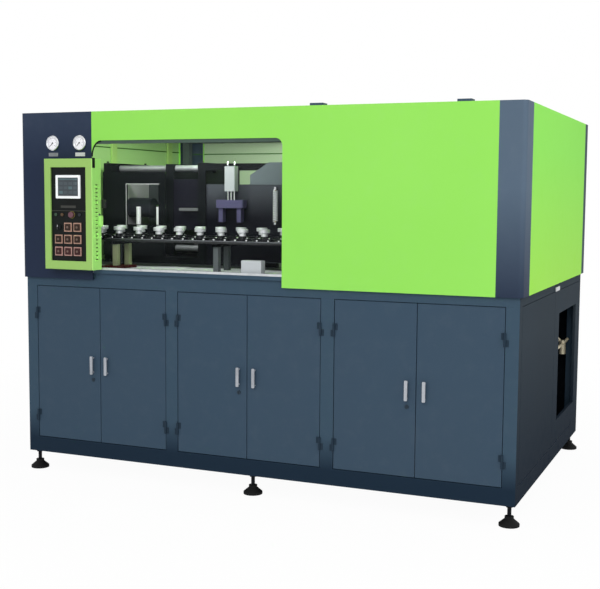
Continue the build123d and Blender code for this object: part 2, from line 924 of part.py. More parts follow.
pod_left = pod_right - pod_width
pod_front = hood_front - pod_depth
pod_x = (pod_left + pod_right) / 2
pod_z = pod_low + pod_height / 2
opening_width = pod_width - 2 * pod_side_rim
opening_height = pod_height - 2 * pod_end_rim
with BuildPart() as pod_housing:
    with BuildSketch(front_plane(pod_x, hood_front, pod_z)):
        Rectangle(pod_width, pod_height)
    extrude(amount=pod_depth)
    chamfer(pod_housing.faces().sort_by(Axis.Y)[0].edges(), edge_break * 2)
    with BuildSketch(front_plane(pod_x, hood_front - pod_sheet, pod_z)):
        Rectangle(pod_width - 2 * pod_sheet, pod_height - 2 * pod_sheet)
    extrude(amount=pod_depth - 2 * pod_sheet, mode=Mode.SUBTRACT)
    with BuildSketch(front_plane(pod_x, pod_front, pod_z)):
        Rectangle(opening_width, opening_height)
    extrude(amount=-pod_sheet, mode=Mode.SUBTRACT)
    fascia_seat = front_plane(pod_x, pod_front + pod_sheet, pod_z)
    with BuildSketch(fascia_seat):
        Rectangle(opening_width + 2 * pod_sheet, opening_height + 2 * pod_sheet)
        Rectangle(opening_width, opening_height, mode=Mode.SUBTRACT)
    extrude(amount=-(fascia_recess - pod_sheet))
    slot_middle = pod_low + (slot_count * slot_pitch) / 2 + pod_end_rim
    with BuildSketch(right_plane(pod_right, pod_front + slot_from_front + slot_length / 2, slot_middle)):
        with GridLocations(0, slot_pitch, 1, slot_count):
            Rectangle(slot_length, slot_height)
    extrude(amount=-pod_sheet, mode=Mode.SUBTRACT)
pod_housing.part.label = "pod_housing"
export_step(pod_housing.part, "parts/pod_housing.step")

# Fascia in two black plates, with holes for the button stems, the knob and the stop button

fascia_front = pod_front + fascia_recess
fascia_back = fascia_front + fascia_thickness
fascia_seam = control_row + stop_radius + seam_above_stop
fascia_reach = opening_height / 2 + pod_sheet
button_middle_x = pod_x - buttons_off_middle
button_columns = [button_middle_x + step * button_pitch_x for step in (-1, 0, 1)]
button_places = [(x, button_rows[0]) for x in button_columns]
button_places += [(x, button_rows[1]) for x in button_columns]
button_places += [(x, button_rows[2]) for x in button_columns[1:]]
knob_place = (button_columns[0], button_rows[2])
stop_place = (button_columns[1] + stop_from_column, control_row)
lamp_places = [(button_columns[0] + offset, control_row) for offset in lamp_offsets]
key_place = (button_columns[2] + key_from_column, control_row)
screen_z = pod_high - screen_from_top - screen_height / 2 - pod_end_rim + fascia_recess
fascia_width = opening_width + 2 * pod_sheet
with BuildPart() as high_fascia:
    top = pod_z + fascia_reach
    with BuildSketch(front_plane(pod_x, fascia_front, (fascia_seam + top) / 2)):
        Rectangle(fascia_width, top - fascia_seam)
    extrude(amount=-fascia_thickness)
with BuildPart() as low_fascia:
    bottom = pod_z - fascia_reach
    seam_low = fascia_seam - fascia_split
    with BuildSketch(front_plane(pod_x, fascia_front, (seam_low + bottom) / 2)):
        Rectangle(fascia_width, seam_low - bottom)
    extrude(amount=-fascia_thickness)
    with BuildSketch(front_plane(0, fascia_front, 0)):
        with Locations(*button_places):
            Rectangle(button_stem + 2 * button_fit, button_stem + 2 * button_fit)
        with Locations(knob_place):
            Circle(knob_stem + button_fit)
        with Locations(stop_place):
            Circle(stop_stem + button_fit)
    extrude(amount=-fascia_thickness, mode=Mode.SUBTRACT)
fascia_pieces = [high_fascia.part, low_fascia.part]
for x, z in (*lamp_places, key_place):
    with BuildPart() as lamp:
        with BuildSketch(front_plane(x, fascia_front, z)):
            Circle(lamp_radius)
        extrude(amount=lamp_proud)
        chamfer(lamp.faces().sort_by(Axis.Y)[0].edges(), lamp_edge)
    fascia_pieces.append(lamp.part)
write_group("pod_fascia", fascia_pieces)

with BuildPart() as screen_case:
    screen_face = front_plane(pod_x - screen_off_middle, fascia_front, screen_z)
    with BuildSketch(screen_face):
        RectangleRounded(screen_width, screen_height, screen_frame / 3)
    extrude(amount=screen_proud)
    with BuildSketch(screen_face.offset(screen_proud)):
        Rectangle(screen_width - 2 * screen_frame, screen_height - 2 * screen_frame)
    extrude(amount=-screen_proud / 3, mode=Mode.SUBTRACT)
screen_case.part.label = "touchscreen"
export_step(screen_case.part, "parts/touchscreen.step")

bezels = []
for number, (x, z) in enumerate(button_places, 1):
    with BuildPart() as bezel:
        with BuildSketch(front_plane(x, fascia_front, z)):
            Rectangle(bezel_size, bezel_size)
            Rectangle(button_size + 2 * button_fit, button_size + 2 * button_fit, mode=Mode.SUBTRACT)
        extrude(amount=bezel_height)
    bezels.append(bezel.part)
    with BuildPart() as button:
        with BuildSketch(front_plane(x, fascia_back + button_travel, z)):
            Rectangle(button_stem, button_stem)
        extrude(amount=fascia_thickness + 2 * button_travel + button_fit)
        cap_back = fascia_front - button_travel - button_fit
        with BuildSketch(front_plane(x, cap_back, z)):
            Rectangle(button_size, button_size)
        extrude(amount=button_proud)
        chamfer(button.faces().sort_by(Axis.Y)[0].edges(), edge_break)
    button.part.label = f"push_button_{number}"
    export_step(button.part, f"parts/push_button_{number}.step")
write_group("button_bezels", bezels)

with BuildPart() as selector_knob:
    with BuildSketch(front_plane(knob_place[0], fascia_back, knob_place[1])):
        Circle(knob_stem)
    extrude(amount=fascia_thickness + button_fit)
    knob_back = front_plane(knob_place[0], fascia_front - button_fit, knob_place[1])
    with BuildSketch(knob_back):
        Circle(knob_radius)
    extrude(amount=knob_height / 2)
    with BuildSketch(knob_back.offset(knob_height / 2)):
        RectangleRounded(knob_radius * 0.6, knob_radius * 2, knob_radius * 0.2)
    extrude(amount=knob_height / 2)
selector_knob.part.label = "selector_knob"
export_step(selector_knob.part, "parts/selector_knob.step")

with BuildPart() as emergency_stop:
    with BuildSketch(front_plane(stop_place[0], fascia_back, stop_place[1])):
        Circle(stop_stem)
    extrude(amount=fascia_thickness + stop_travel + button_fit)
    with BuildSketch(front_plane(stop_place[0], fascia_front - stop_travel - button_fit, stop_place[1])):
        Circle(stop_radius)
    extrude(amount=stop_height)
    chamfer(emergency_stop.faces().sort_by(Axis.Y)[0].edges(), stop_height / 4)
emergency_stop.part.label = "emergency_stop"
export_step(emergency_stop.part, "parts/emergency_stop.step")

# Pressure gauges: cases through the panel, and a needle on a shaft in front of each dial

cases = []
dial_y = hood_front - gauge_bezel + gauge_face_recess
for x in gauge_xs:
    with BuildPart() as case:
        with BuildSketch(front_plane(x, hood_front, gauge_middle)):
            Circle(gauge_radius)
        extrude(amount=gauge_bezel)
        chamfer(case.faces().sort_by(Axis.Y)[0].edges(), gauge_bezel / 4)
        with BuildSketch(front_plane(x, hood_front, gauge_middle)):
            Circle(gauge_body_radius)
        extrude(amount=-gauge_body_depth)
        with BuildSketch(front_plane(x, hood_front - gauge_bezel, gauge_middle)):
            Circle(gauge_radius - gauge_bezel / 2)
        extrude(amount=-gauge_face_recess, mode=Mode.SUBTRACT)
        with BuildSketch(front_plane(x, dial_y, gauge_middle)):
            Circle(needle_shaft + needle_fit)
        extrude(amount=-gauge_face_recess, mode=Mode.SUBTRACT)
    cases.append(case.part)
write_group("gauge_cases", cases)
for name, x in zip(("left", "right"), gauge_xs):
    zero = radians(needle_zero)
    place = (x, dial_y - needle_lift, gauge_middle)
    with BuildPart() as needle:
        with BuildSketch(Plane(origin=place, x_dir=(cos(zero), 0, sin(zero)), z_dir=(0, -1, 0))):
            Circle(needle_hub)
            with BuildLine():
                Polyline(
                    (-needle_width / 2, 0),
                    (needle_width / 2, 0),
                    (needle_width / 8, needle_length),
                    (-needle_width / 8, needle_length),
                    close=True,
                )
            make_face()
        extrude(amount=needle_thickness)
        with BuildSketch(front_plane(x, dial_y + needle_seat, gauge_middle)):
            Circle(needle_shaft)
        extrude(amount=needle_seat + needle_lift)
    needle.part.label = f"gauge_needle_{name}"
    export_step(needle.part, f"parts/gauge_needle_{name}.step")

# Conveyor: trestles and guide rails, star wheels, chain carriers and the mandrels they carry

rail_low_z = rail_top - rail_height
conveyor = []
first_leg = first_tangent + leg_from_turn
leg_places = (first_leg, first_leg + leg_step, oven_left + leg_in_oven, oven_right - leg_in_oven)
for x in leg_places:
    beam_length = back_run - front_run + leg_size + 2 * rail_spread
    beam_start = (x, front_run - leg_size / 2 - rail_spread, rail_low_z - beam_height / 2)
    conveyor.append(tube(beam_start, BACK, RIGHT, beam_length, leg_size, beam_height))
    for y in (front_run, loop_middle):
        leg_height = rail_low_z - beam_height - table_top
        conveyor.append(tube((x, y, table_top), UP, RIGHT, leg_height, leg_size, leg_size))
for row, outward in ((front_run, -1), (back_run, 1)):
    for side in (outward, -outward):
        inset = 0 if side == outward else rail_setback
        rail_y = row + side * rail_spread
        span_x = (first_tangent + inset, last_tangent - inset)
        span_y = (rail_y - rail_width / 2, rail_y + rail_width / 2)
        conveyor.append(plate(span_x, span_y, (rail_low_z, rail_top)))
write_group("conveyor_frame", conveyor)

wheels = []
wheel_z = rail_low_z + wheel_lift
first_pocket = 90 / turn_pitches - 90
wheel_tip = turn_radius - wheel_in_pitch
for x in (first_tangent, last_tangent):
    with BuildPart() as wheel:
        with BuildSketch(floor_plane(x, loop_middle, wheel_z)):
            Circle(wheel_tip)
            with PolarLocations(turn_radius, 2 * turn_pitches, start_angle=first_pocket):
                Circle(wheel_pocket, mode=Mode.SUBTRACT)
        extrude(amount=wheel_thickness)
        with BuildSketch(floor_plane(x, loop_middle, table_top)):
            Circle(shaft_radius)
        extrude(amount=wheel_z - table_top)
    wheels.append(wheel.part)
write_group("star_wheels", wheels)


def loop_plane(distance, z):
    """A plane on the chain's loop, so far along it from the first tangent, with X along the run."""
    straight = run_pitches * pitch
    turn = turn_pitches * pitch
    if distance < straight:
        return Plane(origin=(first_tangent + distance, front_run, z), x_dir=RIGHT, z_dir=UP)
    if distance < straight + turn:
        angle = (distance - straight) / turn_radius
        x = last_tangent + turn_radius * sin(angle)
        y = loop_middle - turn_radius * cos(angle)
        return Plane(origin=(x, y, z), x_dir=(cos(angle), sin(angle), 0), z_dir=UP)
    if distance < 2 * straight + turn:
        x = last_tangent - (distance - straight - turn)
        return Plane(origin=(x, back_run, z), x_dir=(-1, 0, 0), z_dir=UP)
    angle = (distance - 2 * straight - turn) / turn_radius
    x = first_tangent - turn_radius * sin(angle)
    y = loop_middle + turn_radius * cos(angle)
    return Plane(origin=(x, y, z), x_dir=(-cos(angle), -sin(angle), 0), z_dir=UP)


carrier_low = rail_top + carrier_lift
carrier_high = carrier_low + carrier_thickness
carrier_count = 2 * (run_pitches + turn_pitches)
carrier_length = pitch - carrier_gap
link_length = pitch - link_gap
chain = []
mandrels = []
for number in range(carrier_count):
    seat = loop_plane((number + 0.5) * pitch, carrier_low)
    with BuildPart() as carrier:
        with BuildSketch(seat) as outline:
            Rectangle(carrier_length, carrier_width)
            chamfer(outline.vertices(), carrier_corner)
        extrude(amount=carrier_thickness)
        with BuildSketch(seat):
            RegularPolygon(spindle_across / 2, 6, major_radius=False)
        extrude(amount=-spindle_foot)
    with BuildPart() as link:
        with BuildSketch(loop_plane(number * pitch, carrier_high)) as outline:
            Rectangle(link_length, link_width)
            chamfer(outline.vertices(), link_width / 4)
        extrude(amount=link_thickness)
    chain += [carrier.part, link.part]
    with BuildPart() as mandrel:
        with BuildSketch(seat.offset(carrier_thickness)):
            RegularPolygon(neck_across / 2, 6, major_radius=False)
        extrude(amount=neck_height)
        with BuildSketch(seat.offset(carrier_thickness + neck_height)):
            Circle(collar_radius)
        extrude(amount=collar_height)
    mandrels.append(mandrel.part)
write_group("drive_chain", chain)
write_group("mandrels", mandrels)

# Clamp unit: slab, end plate, fixed platen, front and rear covers, pillars, tie bars and cylinder

clamp_top = table_top + clamp_height
slab_top = table_top + clamp_slab
tie_high = clamp_top - tie_inset_z
end_inner = clamp_left + clamp_plate
fixed_inner = clamp_right - clamp_plate
clamp_ys = (clamp_front, clamp_back)
with BuildPart() as slab:
    with BuildSketch(floor_plane((clamp_left + clamp_right) / 2, mould_y, table_top)):
        Rectangle(clamp_right - clamp_left, clamp_depth)
    extrude(amount=clamp_slab)
    with BuildSketch(Plane.XY.offset(table_top)):
        with Locations(*mould_row):
            Circle(stretch_rod_hole)
    extrude(amount=clamp_slab, mode=Mode.SUBTRACT)
cover_high = tie_high - tie_radius - cover_below_bars
cover_right = clamp_left + cover_length
with BuildPart() as cover:
    cover_middle = (clamp_left + cover_right) / 2
    with BuildSketch(front_plane(cover_middle, clamp_front, (slab_top + cover_high) / 2)):
        Rectangle(cover_right - clamp_left, cover_high - slab_top)
    extrude(amount=cover_thickness)
    hole_x = cover_right - cover_open_from_right - cover_open_width / 2
    hole_z = slab_top + cover_open_above_slab + cover_open_height / 2
    with BuildSketch(front_plane(hole_x, clamp_front, hole_z)):
        Rectangle(cover_open_width, cover_open_height)
    extrude(amount=cover_thickness, mode=Mode.SUBTRACT)
clamp_pieces = [
    slab.part,
    plate((clamp_left, end_inner), clamp_ys, (slab_top, clamp_top)),
    plate((fixed_inner, clamp_right), clamp_ys, (slab_top, clamp_top)),
    cover.part,
    plate((clamp_left, cover_right), (clamp_back, clamp_back + cover_thickness), (slab_top, cover_high)),
]
pillar_y = clamp_front + pillar_from_front
for from_left in pillars_from_left:
    pillar_foot = floor_plane(clamp_left + from_left, pillar_y, slab_top)
    clamp_pieces.append(rod(pillar_foot, pillar_radius, pillar_height))
manifold_low = slab_top + manifold_above_slab
manifold_span_x = (mould_x - manifold_reach, fixed_inner)
manifold_span_y = (clamp_front + manifold_from_front, clamp_front + manifold_from_front + manifold_depth)
clamp_pieces.append(plate(manifold_span_x, manifold_span_y, (manifold_low, manifold_low + manifold_height)))
write_group("clamp_frame", clamp_pieces)

tie_ys = (clamp_front + tie_inset_y, clamp_back - tie_inset_y)
tie_zs = (table_top + tie_low, tie_high)
bars = []
for y in tie_ys:
    for z in tie_zs:
        bars.append(rod(right_plane(end_inner, y, z), tie_radius, fixed_inner - end_inner))
        for nut_plane in (left_plane(clamp_left, y, z), right_plane(clamp_right, y, z)):
            with BuildPart() as tie_nut:
                with BuildSketch(nut_plane):
                    RegularPolygon(tie_nut_radius, 6)
                extrude(amount=tie_nut_height)
            bars.append(tie_nut.part)
write_group("tie_bars", bars)

cylinder_z = (tie_zs[0] + tie_zs[1]) / 2
cylinder_mouth = end_inner + cylinder_length
with BuildPart() as clamp_cylinder:
    with BuildSketch(right_plane(end_inner, mould_y, cylinder_z)):
        Circle(cylinder_radius)
    extrude(amount=cylinder_length)
    chamfer(clamp_cylinder.faces().sort_by(Axis.X)[-1].edges(), cylinder_radius / 12)
    with BuildSketch(right_plane(cylinder_mouth, mould_y, cylinder_z)):
        Circle(rod_radius + rod_clearance)
    extrude(amount=-(mould_travel + 1.5 * rod_bite), mode=Mode.SUBTRACT)
clamp_cylinder.part.label = "clamp_cylinder"
export_step(clamp_cylinder.part, "parts/clamp_cylinder.step")

# Moving platen on the tie bars, and the two mould halves with their bottle cavities

platen_face = mould_x - mould_length
platen_back = platen_face - platen_thickness
platen_low = slab_top + platen_lift
platen_high = clamp_top - platen_lift / 2
platen_width = clamp_depth - 2 * platen_inset
with BuildPart() as platen:
    with BuildSketch(right_plane(platen_back, mould_y, (platen_low + platen_high) / 2)):
        Rectangle(platen_width, platen_high - platen_low)
    extrude(amount=platen_thickness)
    with BuildSketch(right_plane(platen_back, 0, 0)):
        with Locations(*[(y, z) for y in tie_ys for z in tie_zs]):
            Circle(tie_radius + tie_clearance)
    extrude(amount=platen_thickness, mode=Mode.SUBTRACT)
rod_end = cylinder_mouth - rod_bite
piston_rod = rod(right_plane(rod_end, mould_y, cylinder_z), rod_radius, platen_back - rod_end)
write_group("moving_platen", [platen.part, piston_rod])

mould_low = table_top + mould_low_lift
mould_high = clamp_top - mould_head


def mould_half(x_low):
    """A mould block with the half cavities of two bottles, neck down, in its parting face."""
    with BuildPart() as block:
        with BuildSketch(floor_plane(x_low + mould_length / 2, mould_y, mould_low)):
            Rectangle(mould_length, mould_depth)
        extrude(amount=mould_high - mould_low)
        for x, y in mould_row:
            with BuildSketch(front_plane(x, y, mould_low)):
                with BuildLine():
                    Polyline(
                        (0, 0),
                        (cavity_neck, 0),
                        (cavity_neck, cavity_neck_height),
                        (cavity_radius, cavity_neck_height + cavity_radius),
                        (cavity_radius, cavity_height),
                        (0, cavity_height),
                        close=True,
                    )
                make_face()
            revolve(axis=Axis((x, y, 0), UP), mode=Mode.SUBTRACT)
    return block.part


for name, x_low in (("moving", mould_x - mould_length), ("fixed", mould_x)):
    half = mould_half(x_low)
    half.label = f"mould_half_{name}"
    export_step(half, f"parts/mould_half_{name}.step")

# Stretch unit under the table: guide bars and lift cylinder, and the carriage with its two rods

stretch_plate_top = table_top - stretch_plate_below_table
carriage_low = stretch_plate_top - stretch_plate
guide_low = table_top - guide_below_table
lift_low = table_top - lift_below_table
guide_xs = (mould_x - guide_spread, mould_x + guide_spread)
guides = []
for x in guide_xs:
    guides.append(rod(floor_plane(x, mould_y, guide_low), guide_radius, table_low - guide_low))
with BuildPart() as guide_plate:
    with BuildSketch(floor_plane(mould_x, mould_y, guide_low - guide_foot)):
        Rectangle(stretch_width, stretch_depth / 2)
        Circle(lift_rod + rod_clearance, mode=Mode.SUBTRACT)
    extrude(amount=guide_foot)
lift_high = guide_low - guide_foot
with BuildPart() as lift_cylinder:
    with BuildSketch(floor_plane(mould_x, mould_y, lift_low)):
        Circle(lift_radius)
    extrude(amount=lift_high - lift_low)
    with BuildSketch(floor_plane(mould_x, mould_y, lift_low + guide_foot / 2)):
        Circle(lift_rod + rod_clearance)
    extrude(amount=lift_high - lift_low, mode=Mode.SUBTRACT)
write_group("stretch_guides", [*guides, guide_plate.part, lift_cylinder.part])

with BuildPart() as stretch_carriage:
    with BuildSketch(floor_plane(mould_x, mould_y, carriage_low)):
        Rectangle(stretch_width, stretch_depth)
        with Locations((-guide_spread, 0), (guide_spread, 0)):
            Circle(guide_radius + rod_clearance, mode=Mode.SUBTRACT)
    extrude(amount=stretch_plate)
    with BuildSketch(Plane.XY.offset(stretch_plate_top)):
        with Locations(*mould_row):
            Circle(stretch_rod)
    extrude(amount=stretch_plate_below_table - stretch_below_table)
    rod_low = lift_low + guide_foot
    with BuildSketch(floor_plane(mould_x, mould_y, rod_low)):
        Circle(lift_rod)
    extrude(amount=carriage_low - rod_low)
stretch_carriage.part.label = "stretch_carriage"
export_step(stretch_carriage.part, "parts/stretch_carriage.step")

# Transfer gantry: beam and back panel from the fixed platen to a column, with the lift body in front

gantry_low = clamp_top - gantry_drop
gantry_x = clamp_right + head_from_clamp
gantry_ys = (clamp_front, clamp_front + gantry_beam)
panel_front = clamp_front + transfer_panel_inset
panel_ys = (panel_front, panel_front + transfer_panel)
body_y = clamp_front - head_body_depth / 2
body_high = gantry_low + head_grip
body_low = body_high - head_body_height
head_rods = [(gantry_x + step * head_rod_spread, body_y) for step in (-1, 0, 1)]
with BuildPart() as lift_body:
    with BuildSketch(floor_plane(gantry_x, body_y, body_low)):
        RectangleRounded(head_body_width, head_body_depth, head_rod)
    extrude(amount=head_body_height)
    with BuildSketch(Plane.XY.offset(body_low)):
        with Locations(*head_rods):
            Circle(head_rod + rod_clearance)
    extrude(amount=head_travel + 3 * head_rod, mode=Mode.SUBTRACT)
gantry = [
    plate((clamp_right, gantry_right), gantry_ys, (gantry_low, gantry_low + gantry_beam)),
    plate((gantry_right - gantry_beam, gantry_right), gantry_ys, (table_top, gantry_low)),
    plate((clamp_right, gantry_right - gantry_beam), panel_ys, (table_top, table_top + transfer_panel_height)),
    lift_body.part,
]
write_group("transfer_gantry", gantry)

block_high = body_low - head_rod_length
block_low = block_high - head_block_height
with BuildPart() as transfer_head:
    with BuildSketch(floor_plane(gantry_x, body_y, block_low)):
        Rectangle(head_block_width, head_block_depth)
    extrude(amount=head_block_height)
    chamfer(transfer_head.edges().filter_by(Axis.Z), head_rod)
    with BuildSketch(Plane.XY.offset(block_high)):
        with Locations(*head_rods):
            Circle(head_rod)
    extrude(amount=head_rod_length + head_travel + head_rod)
    with BuildSketch(Plane.XY.offset(block_low)):
        with Locations((gantry_x - jaw_spread, body_y), (gantry_x + jaw_spread, body_y)):
            Rectangle(jaw_width, jaw_depth)
    extrude(amount=-jaw_height)
transfer_head.part.label = "transfer_head"
export_step(transfer_head.part, "parts/transfer_head.step")

# Oven over the front run, with a row of lamps, and the exhaust hood plate behind it

oven_top = rail_top + oven_height
oven_out = oven_gap / 2 + oven_wall
oven_span = (oven_left, oven_right)
oven = [
    plate(oven_span, (front_run - oven_out, front_run - oven_gap / 2), (table_top, oven_top)),
    plate(oven_span, (front_run + oven_gap / 2, front_run + oven_out), (rail_low_z, oven_top)),
    plate(oven_span, (front_run - oven_out, front_run + oven_out), (oven_top, oven_top + oven_wall / 3)),
]
lamp_y = front_run - oven_gap / 2 + oven_lamp + sheet
lamp_length = oven_right - oven_left - 2 * lamp_holder
for step in range(oven_lamp_count):
    lamp_z = oven_top - (step + 1) * oven_lamp_pitch
    oven.append(rod(right_plane(oven_left + lamp_holder, lamp_y, lamp_z), oven_lamp, lamp_length))
holder_ys = (front_run - oven_gap / 2, lamp_y + oven_lamp + sheet)
holder_low = oven_top - (oven_lamp_count + 0.5) * oven_lamp_pitch
for x in (oven_left, oven_right - lamp_holder):
    oven.append(plate((x, x + lamp_holder), holder_ys, (holder_low, oven_top)))
hood_plate_y = base_front + hood_plate_from_front
hood_plate_left = gantry_right - hood_plate_overlap
hood_plate_right = last_tangent - hood_plate_from_turn
hood_plate_low = table_top + hood_plate_lift
hood_plate_top = rail_low - hood_plate_below_rail
with BuildPart() as hood_plate:
    with BuildSketch(front_plane(0, hood_plate_y + hood_plate_thickness, 0)):
        with BuildLine():
            Polyline(
                (hood_plate_left, hood_plate_low),
                (hood_plate_right, hood_plate_low),
                (hood_plate_right, hood_plate_top),
                (hood_plate_left + hood_plate_slope, hood_plate_top),
                (hood_plate_left, hood_plate_top - hood_plate_step),
                close=True,
            )
        make_face()
    extrude(amount=hood_plate_thickness)
oven.append(hood_plate.part)
hood_ys = (hood_plate_y, hood_plate_y + hood_plate_thickness)
for x in (hood_plate_left, hood_plate_right - hood_leg):
    oven.append(plate((x, x + hood_leg), hood_ys, (table_top, hood_plate_low)))
write_group("oven", oven)

# Coiled air hose between two fittings on the hood plate, and the junction box on the table

coil_x = hood_plate_left + coil_from_edge
coil_low = hood_plate_low + coil_above_edge
coil_y = hood_plate_y - coil_radius - carrier_lift
with BuildPart() as coiled_hose:
    with BuildSketch(floor_plane(coil_x, coil_y, coil_low)):
        Circle(coil_radius)
    extrude(amount=coil_height)
    for start, length in ((coil_low, -hose_stub), (coil_low + coil_height, hose_stub)):
        with BuildSketch(floor_plane(coil_x, coil_y, start)):
            Circle(hose_radius)
        extrude(amount=length)
    fitting_depth = hood_plate_y - coil_y + hose_fitting / 2
    for z in (coil_low - hose_stub, coil_low + coil_height + hose_stub):
        with BuildSketch(front_plane(coil_x, hood_plate_y, z)):
            Rectangle(hose_fitting, hose_fitting)
        extrude(amount=fitting_depth)
coiled_hose.part.label = "coiled_air_hose"
export_step(coiled_hose.part, "parts/coiled_air_hose.step")

box_front = base_front + 2 * sheet
box_left = window_right - box_from_window
with BuildPart() as junction_box:
    with BuildSketch(floor_plane(box_left + box_width / 2, box_front + box_depth / 2, table_top)):
        Rectangle(box_width, box_depth)
    extrude(amount=box_height)
    chamfer(junction_box.faces().sort_by(Axis.Z)[-1].edges(), sheet)
junction_box.part.label = "junction_box"
export_step(junction_box.part, "parts/junction_box.step")

# Air tank with a line to the valve behind the service opening, and the electrical box

tank_low = door_low + tank_foot
valve_height = tank_low + valve_above_tank_foot
with BuildPart() as air_tank:
    with BuildSketch(front_plane(tank_x, tank_y, tank_low)):
        with BuildLine():
            Polyline(
                (0, 0),
                (tank_dish, tank_dish_rise),
                (tank_radius, tank_crown),
                (tank_radius, tank_height - tank_crown),
                (tank_dish, tank_height - tank_dish_rise),
                (0, tank_height),
                close=True,
            )
        make_face()
    revolve(axis=Axis((tank_x, tank_y, 0), UP))
    with BuildSketch(floor_plane(tank_x, tank_y, door_low)):
        with PolarLocations(tank_radius - tank_leg / 2, tank_legs):
            Rectangle(tank_leg, tank_leg)
    extrude(amount=tank_foot + 2 * tank_crown)
    with BuildSketch(right_plane(tank_x + tank_radius / 2, tank_y, valve_height)):
        Circle(tank_boss_radius)
    extrude(amount=tank_radius / 2 + tank_boss)
air_tank.part.label = "air_tank"
export_step(air_tank.part, "parts/air_tank.step")

valve_x = tank_x + tank_radius + tank_boss + valve_reach
valve_y = tank_y + valve_run
with BuildPart() as filter_regulator:
    with BuildSketch(right_plane(tank_x + tank_radius + tank_boss, tank_y, valve_height)):
        Circle(valve_arm)
    extrude(amount=valve_reach + valve_arm)
    with BuildSketch(back_plane(valve_x, tank_y, valve_height)):
        Circle(valve_arm)
    extrude(amount=valve_run)
    with BuildSketch(floor_plane(valve_x, valve_y, valve_height - valve_bowl)):
        Circle(valve_body)
    extrude(amount=valve_bowl + valve_cap)
    for lean in (-1, 1):
        slant = Plane(
            origin=(valve_x, valve_y, valve_height),
            x_dir=BACK,
            z_dir=(lean * sin(radians(valve_lean)), 0, cos(radians(valve_lean))),
        )
        with BuildSketch(slant):
            Circle(valve_arm)
        extrude(amount=valve_branch)
filter_regulator.part.label = "filter_regulator"
export_step(filter_regulator.part, "parts/filter_regulator.step")

cabinet_box_x = (left_cradle[0] + left_cradle[1]) / 2
box_face = cabinet_y - cabinet_box_depth / 2
box_middle = door_low + cabinet_box_height / 2
with BuildPart() as box_shell:
    with BuildSketch(floor_plane(cabinet_box_x, cabinet_y, door_low)):
        Rectangle(cabinet_box_width, cabinet_box_depth)
    extrude(amount=cabinet_box_height)
with BuildPart() as box_door:
    with BuildSketch(front_plane(cabinet_box_x, box_face, box_middle)):
        Rectangle(cabinet_box_width - 2 * cabinet_box_lip, cabinet_box_height - 2 * cabinet_box_lip)
    extrude(amount=cabinet_box_lip)
write_group("electrical_box", [box_shell.part, box_door.part])
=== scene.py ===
"""The looks of a blow moulding machine: paint, metal, plastic and small fittings on its CAD frame.

Lengths are in metres, in the frame of the model: +X to the right, +Y to the back and +Z up.
Turned profiles, screw heads and the softening of edges are given in millimetres.
"""

import json
from collections import Counter
from itertools import product
from math import cos, pi, radians, sin

import bmesh
import bpy
from mathutils import Matrix, Vector


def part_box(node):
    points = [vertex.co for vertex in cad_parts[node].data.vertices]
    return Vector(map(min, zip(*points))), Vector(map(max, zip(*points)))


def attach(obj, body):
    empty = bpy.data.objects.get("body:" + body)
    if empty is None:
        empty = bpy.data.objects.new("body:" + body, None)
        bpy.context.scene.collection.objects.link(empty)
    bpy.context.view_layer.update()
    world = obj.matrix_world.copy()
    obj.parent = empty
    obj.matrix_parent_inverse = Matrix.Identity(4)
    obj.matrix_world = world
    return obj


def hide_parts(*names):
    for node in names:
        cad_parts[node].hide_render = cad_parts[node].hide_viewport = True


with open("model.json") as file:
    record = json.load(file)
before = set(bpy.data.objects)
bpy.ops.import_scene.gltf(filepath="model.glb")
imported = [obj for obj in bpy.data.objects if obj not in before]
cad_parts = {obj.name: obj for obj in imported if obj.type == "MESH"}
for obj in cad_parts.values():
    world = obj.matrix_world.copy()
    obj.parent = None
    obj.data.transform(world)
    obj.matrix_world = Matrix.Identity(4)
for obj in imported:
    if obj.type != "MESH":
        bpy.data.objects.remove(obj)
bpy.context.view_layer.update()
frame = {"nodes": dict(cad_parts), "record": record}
nodes = frame["nodes"]
bodies = frame["record"]["behaviour"]["bodies"]
body_of = {member: body for body, members in bodies.items() for member in members}

MM = 0.001
MACHINE = "machine"
FRONT = (0, -1, 0)
BACK = (0, 1, 0)
RIGHT = (1, 0, 0)
UP = (0, 0, 1)
DOWN = (0, 0, -1)
X, Y, Z = range(3)


# Node trees: ordinary operators on sockets, and one method that adds any node


class Field:
    """A value that varies over a surface or along a path, written with ordinary operators."""

    def __init__(self, tree, socket):
        self.tree = tree
        self.socket = socket

    def maths(self, operation, first, second=0.0):
        return self.tree.node("ShaderNodeMath", {0: first, 1: second}, operation=operation)

    def __add__(self, other):
        return self.maths("ADD", self, other)

    def __radd__(self, other):
        return self.maths("ADD", other, self)

    def __sub__(self, other):
        return self.maths("SUBTRACT", self, other)

    def __rsub__(self, other):
        return self.maths("SUBTRACT", other, self)

    def __mul__(self, other):
        return self.maths("MULTIPLY", self, other)

    def at_most(self, other):
        return self.maths("MINIMUM", self, other)

    def at_least(self, other):
        return self.maths("MAXIMUM", self, other)

    def cosine(self):
        return self.maths("COSINE", self)

    def sine(self):
        return self.maths("SINE", self)


class Tree:
    """A node tree whose nodes all come from one method."""

    def __init__(self, tree):
        self.tree = tree

    def feed(self, socket, value):
        """Links a field to a socket, or gives the socket a plain value."""
        if isinstance(value, Field):
            self.tree.links.new(value.socket, socket)
        else:
            socket.default_value = value

    def node(self, kind, sockets=None, output=0, **settings):
        """Adds a node, with its settings first and then its sockets, and gives one output."""
        made = self.tree.nodes.new(kind)
        for name, value in settings.items():
            setattr(made, name, value)
        for key, value in (sockets or {}).items():
            self.feed(made.inputs[key], value)
        return Field(self, made.outputs[output]) if made.outputs else made


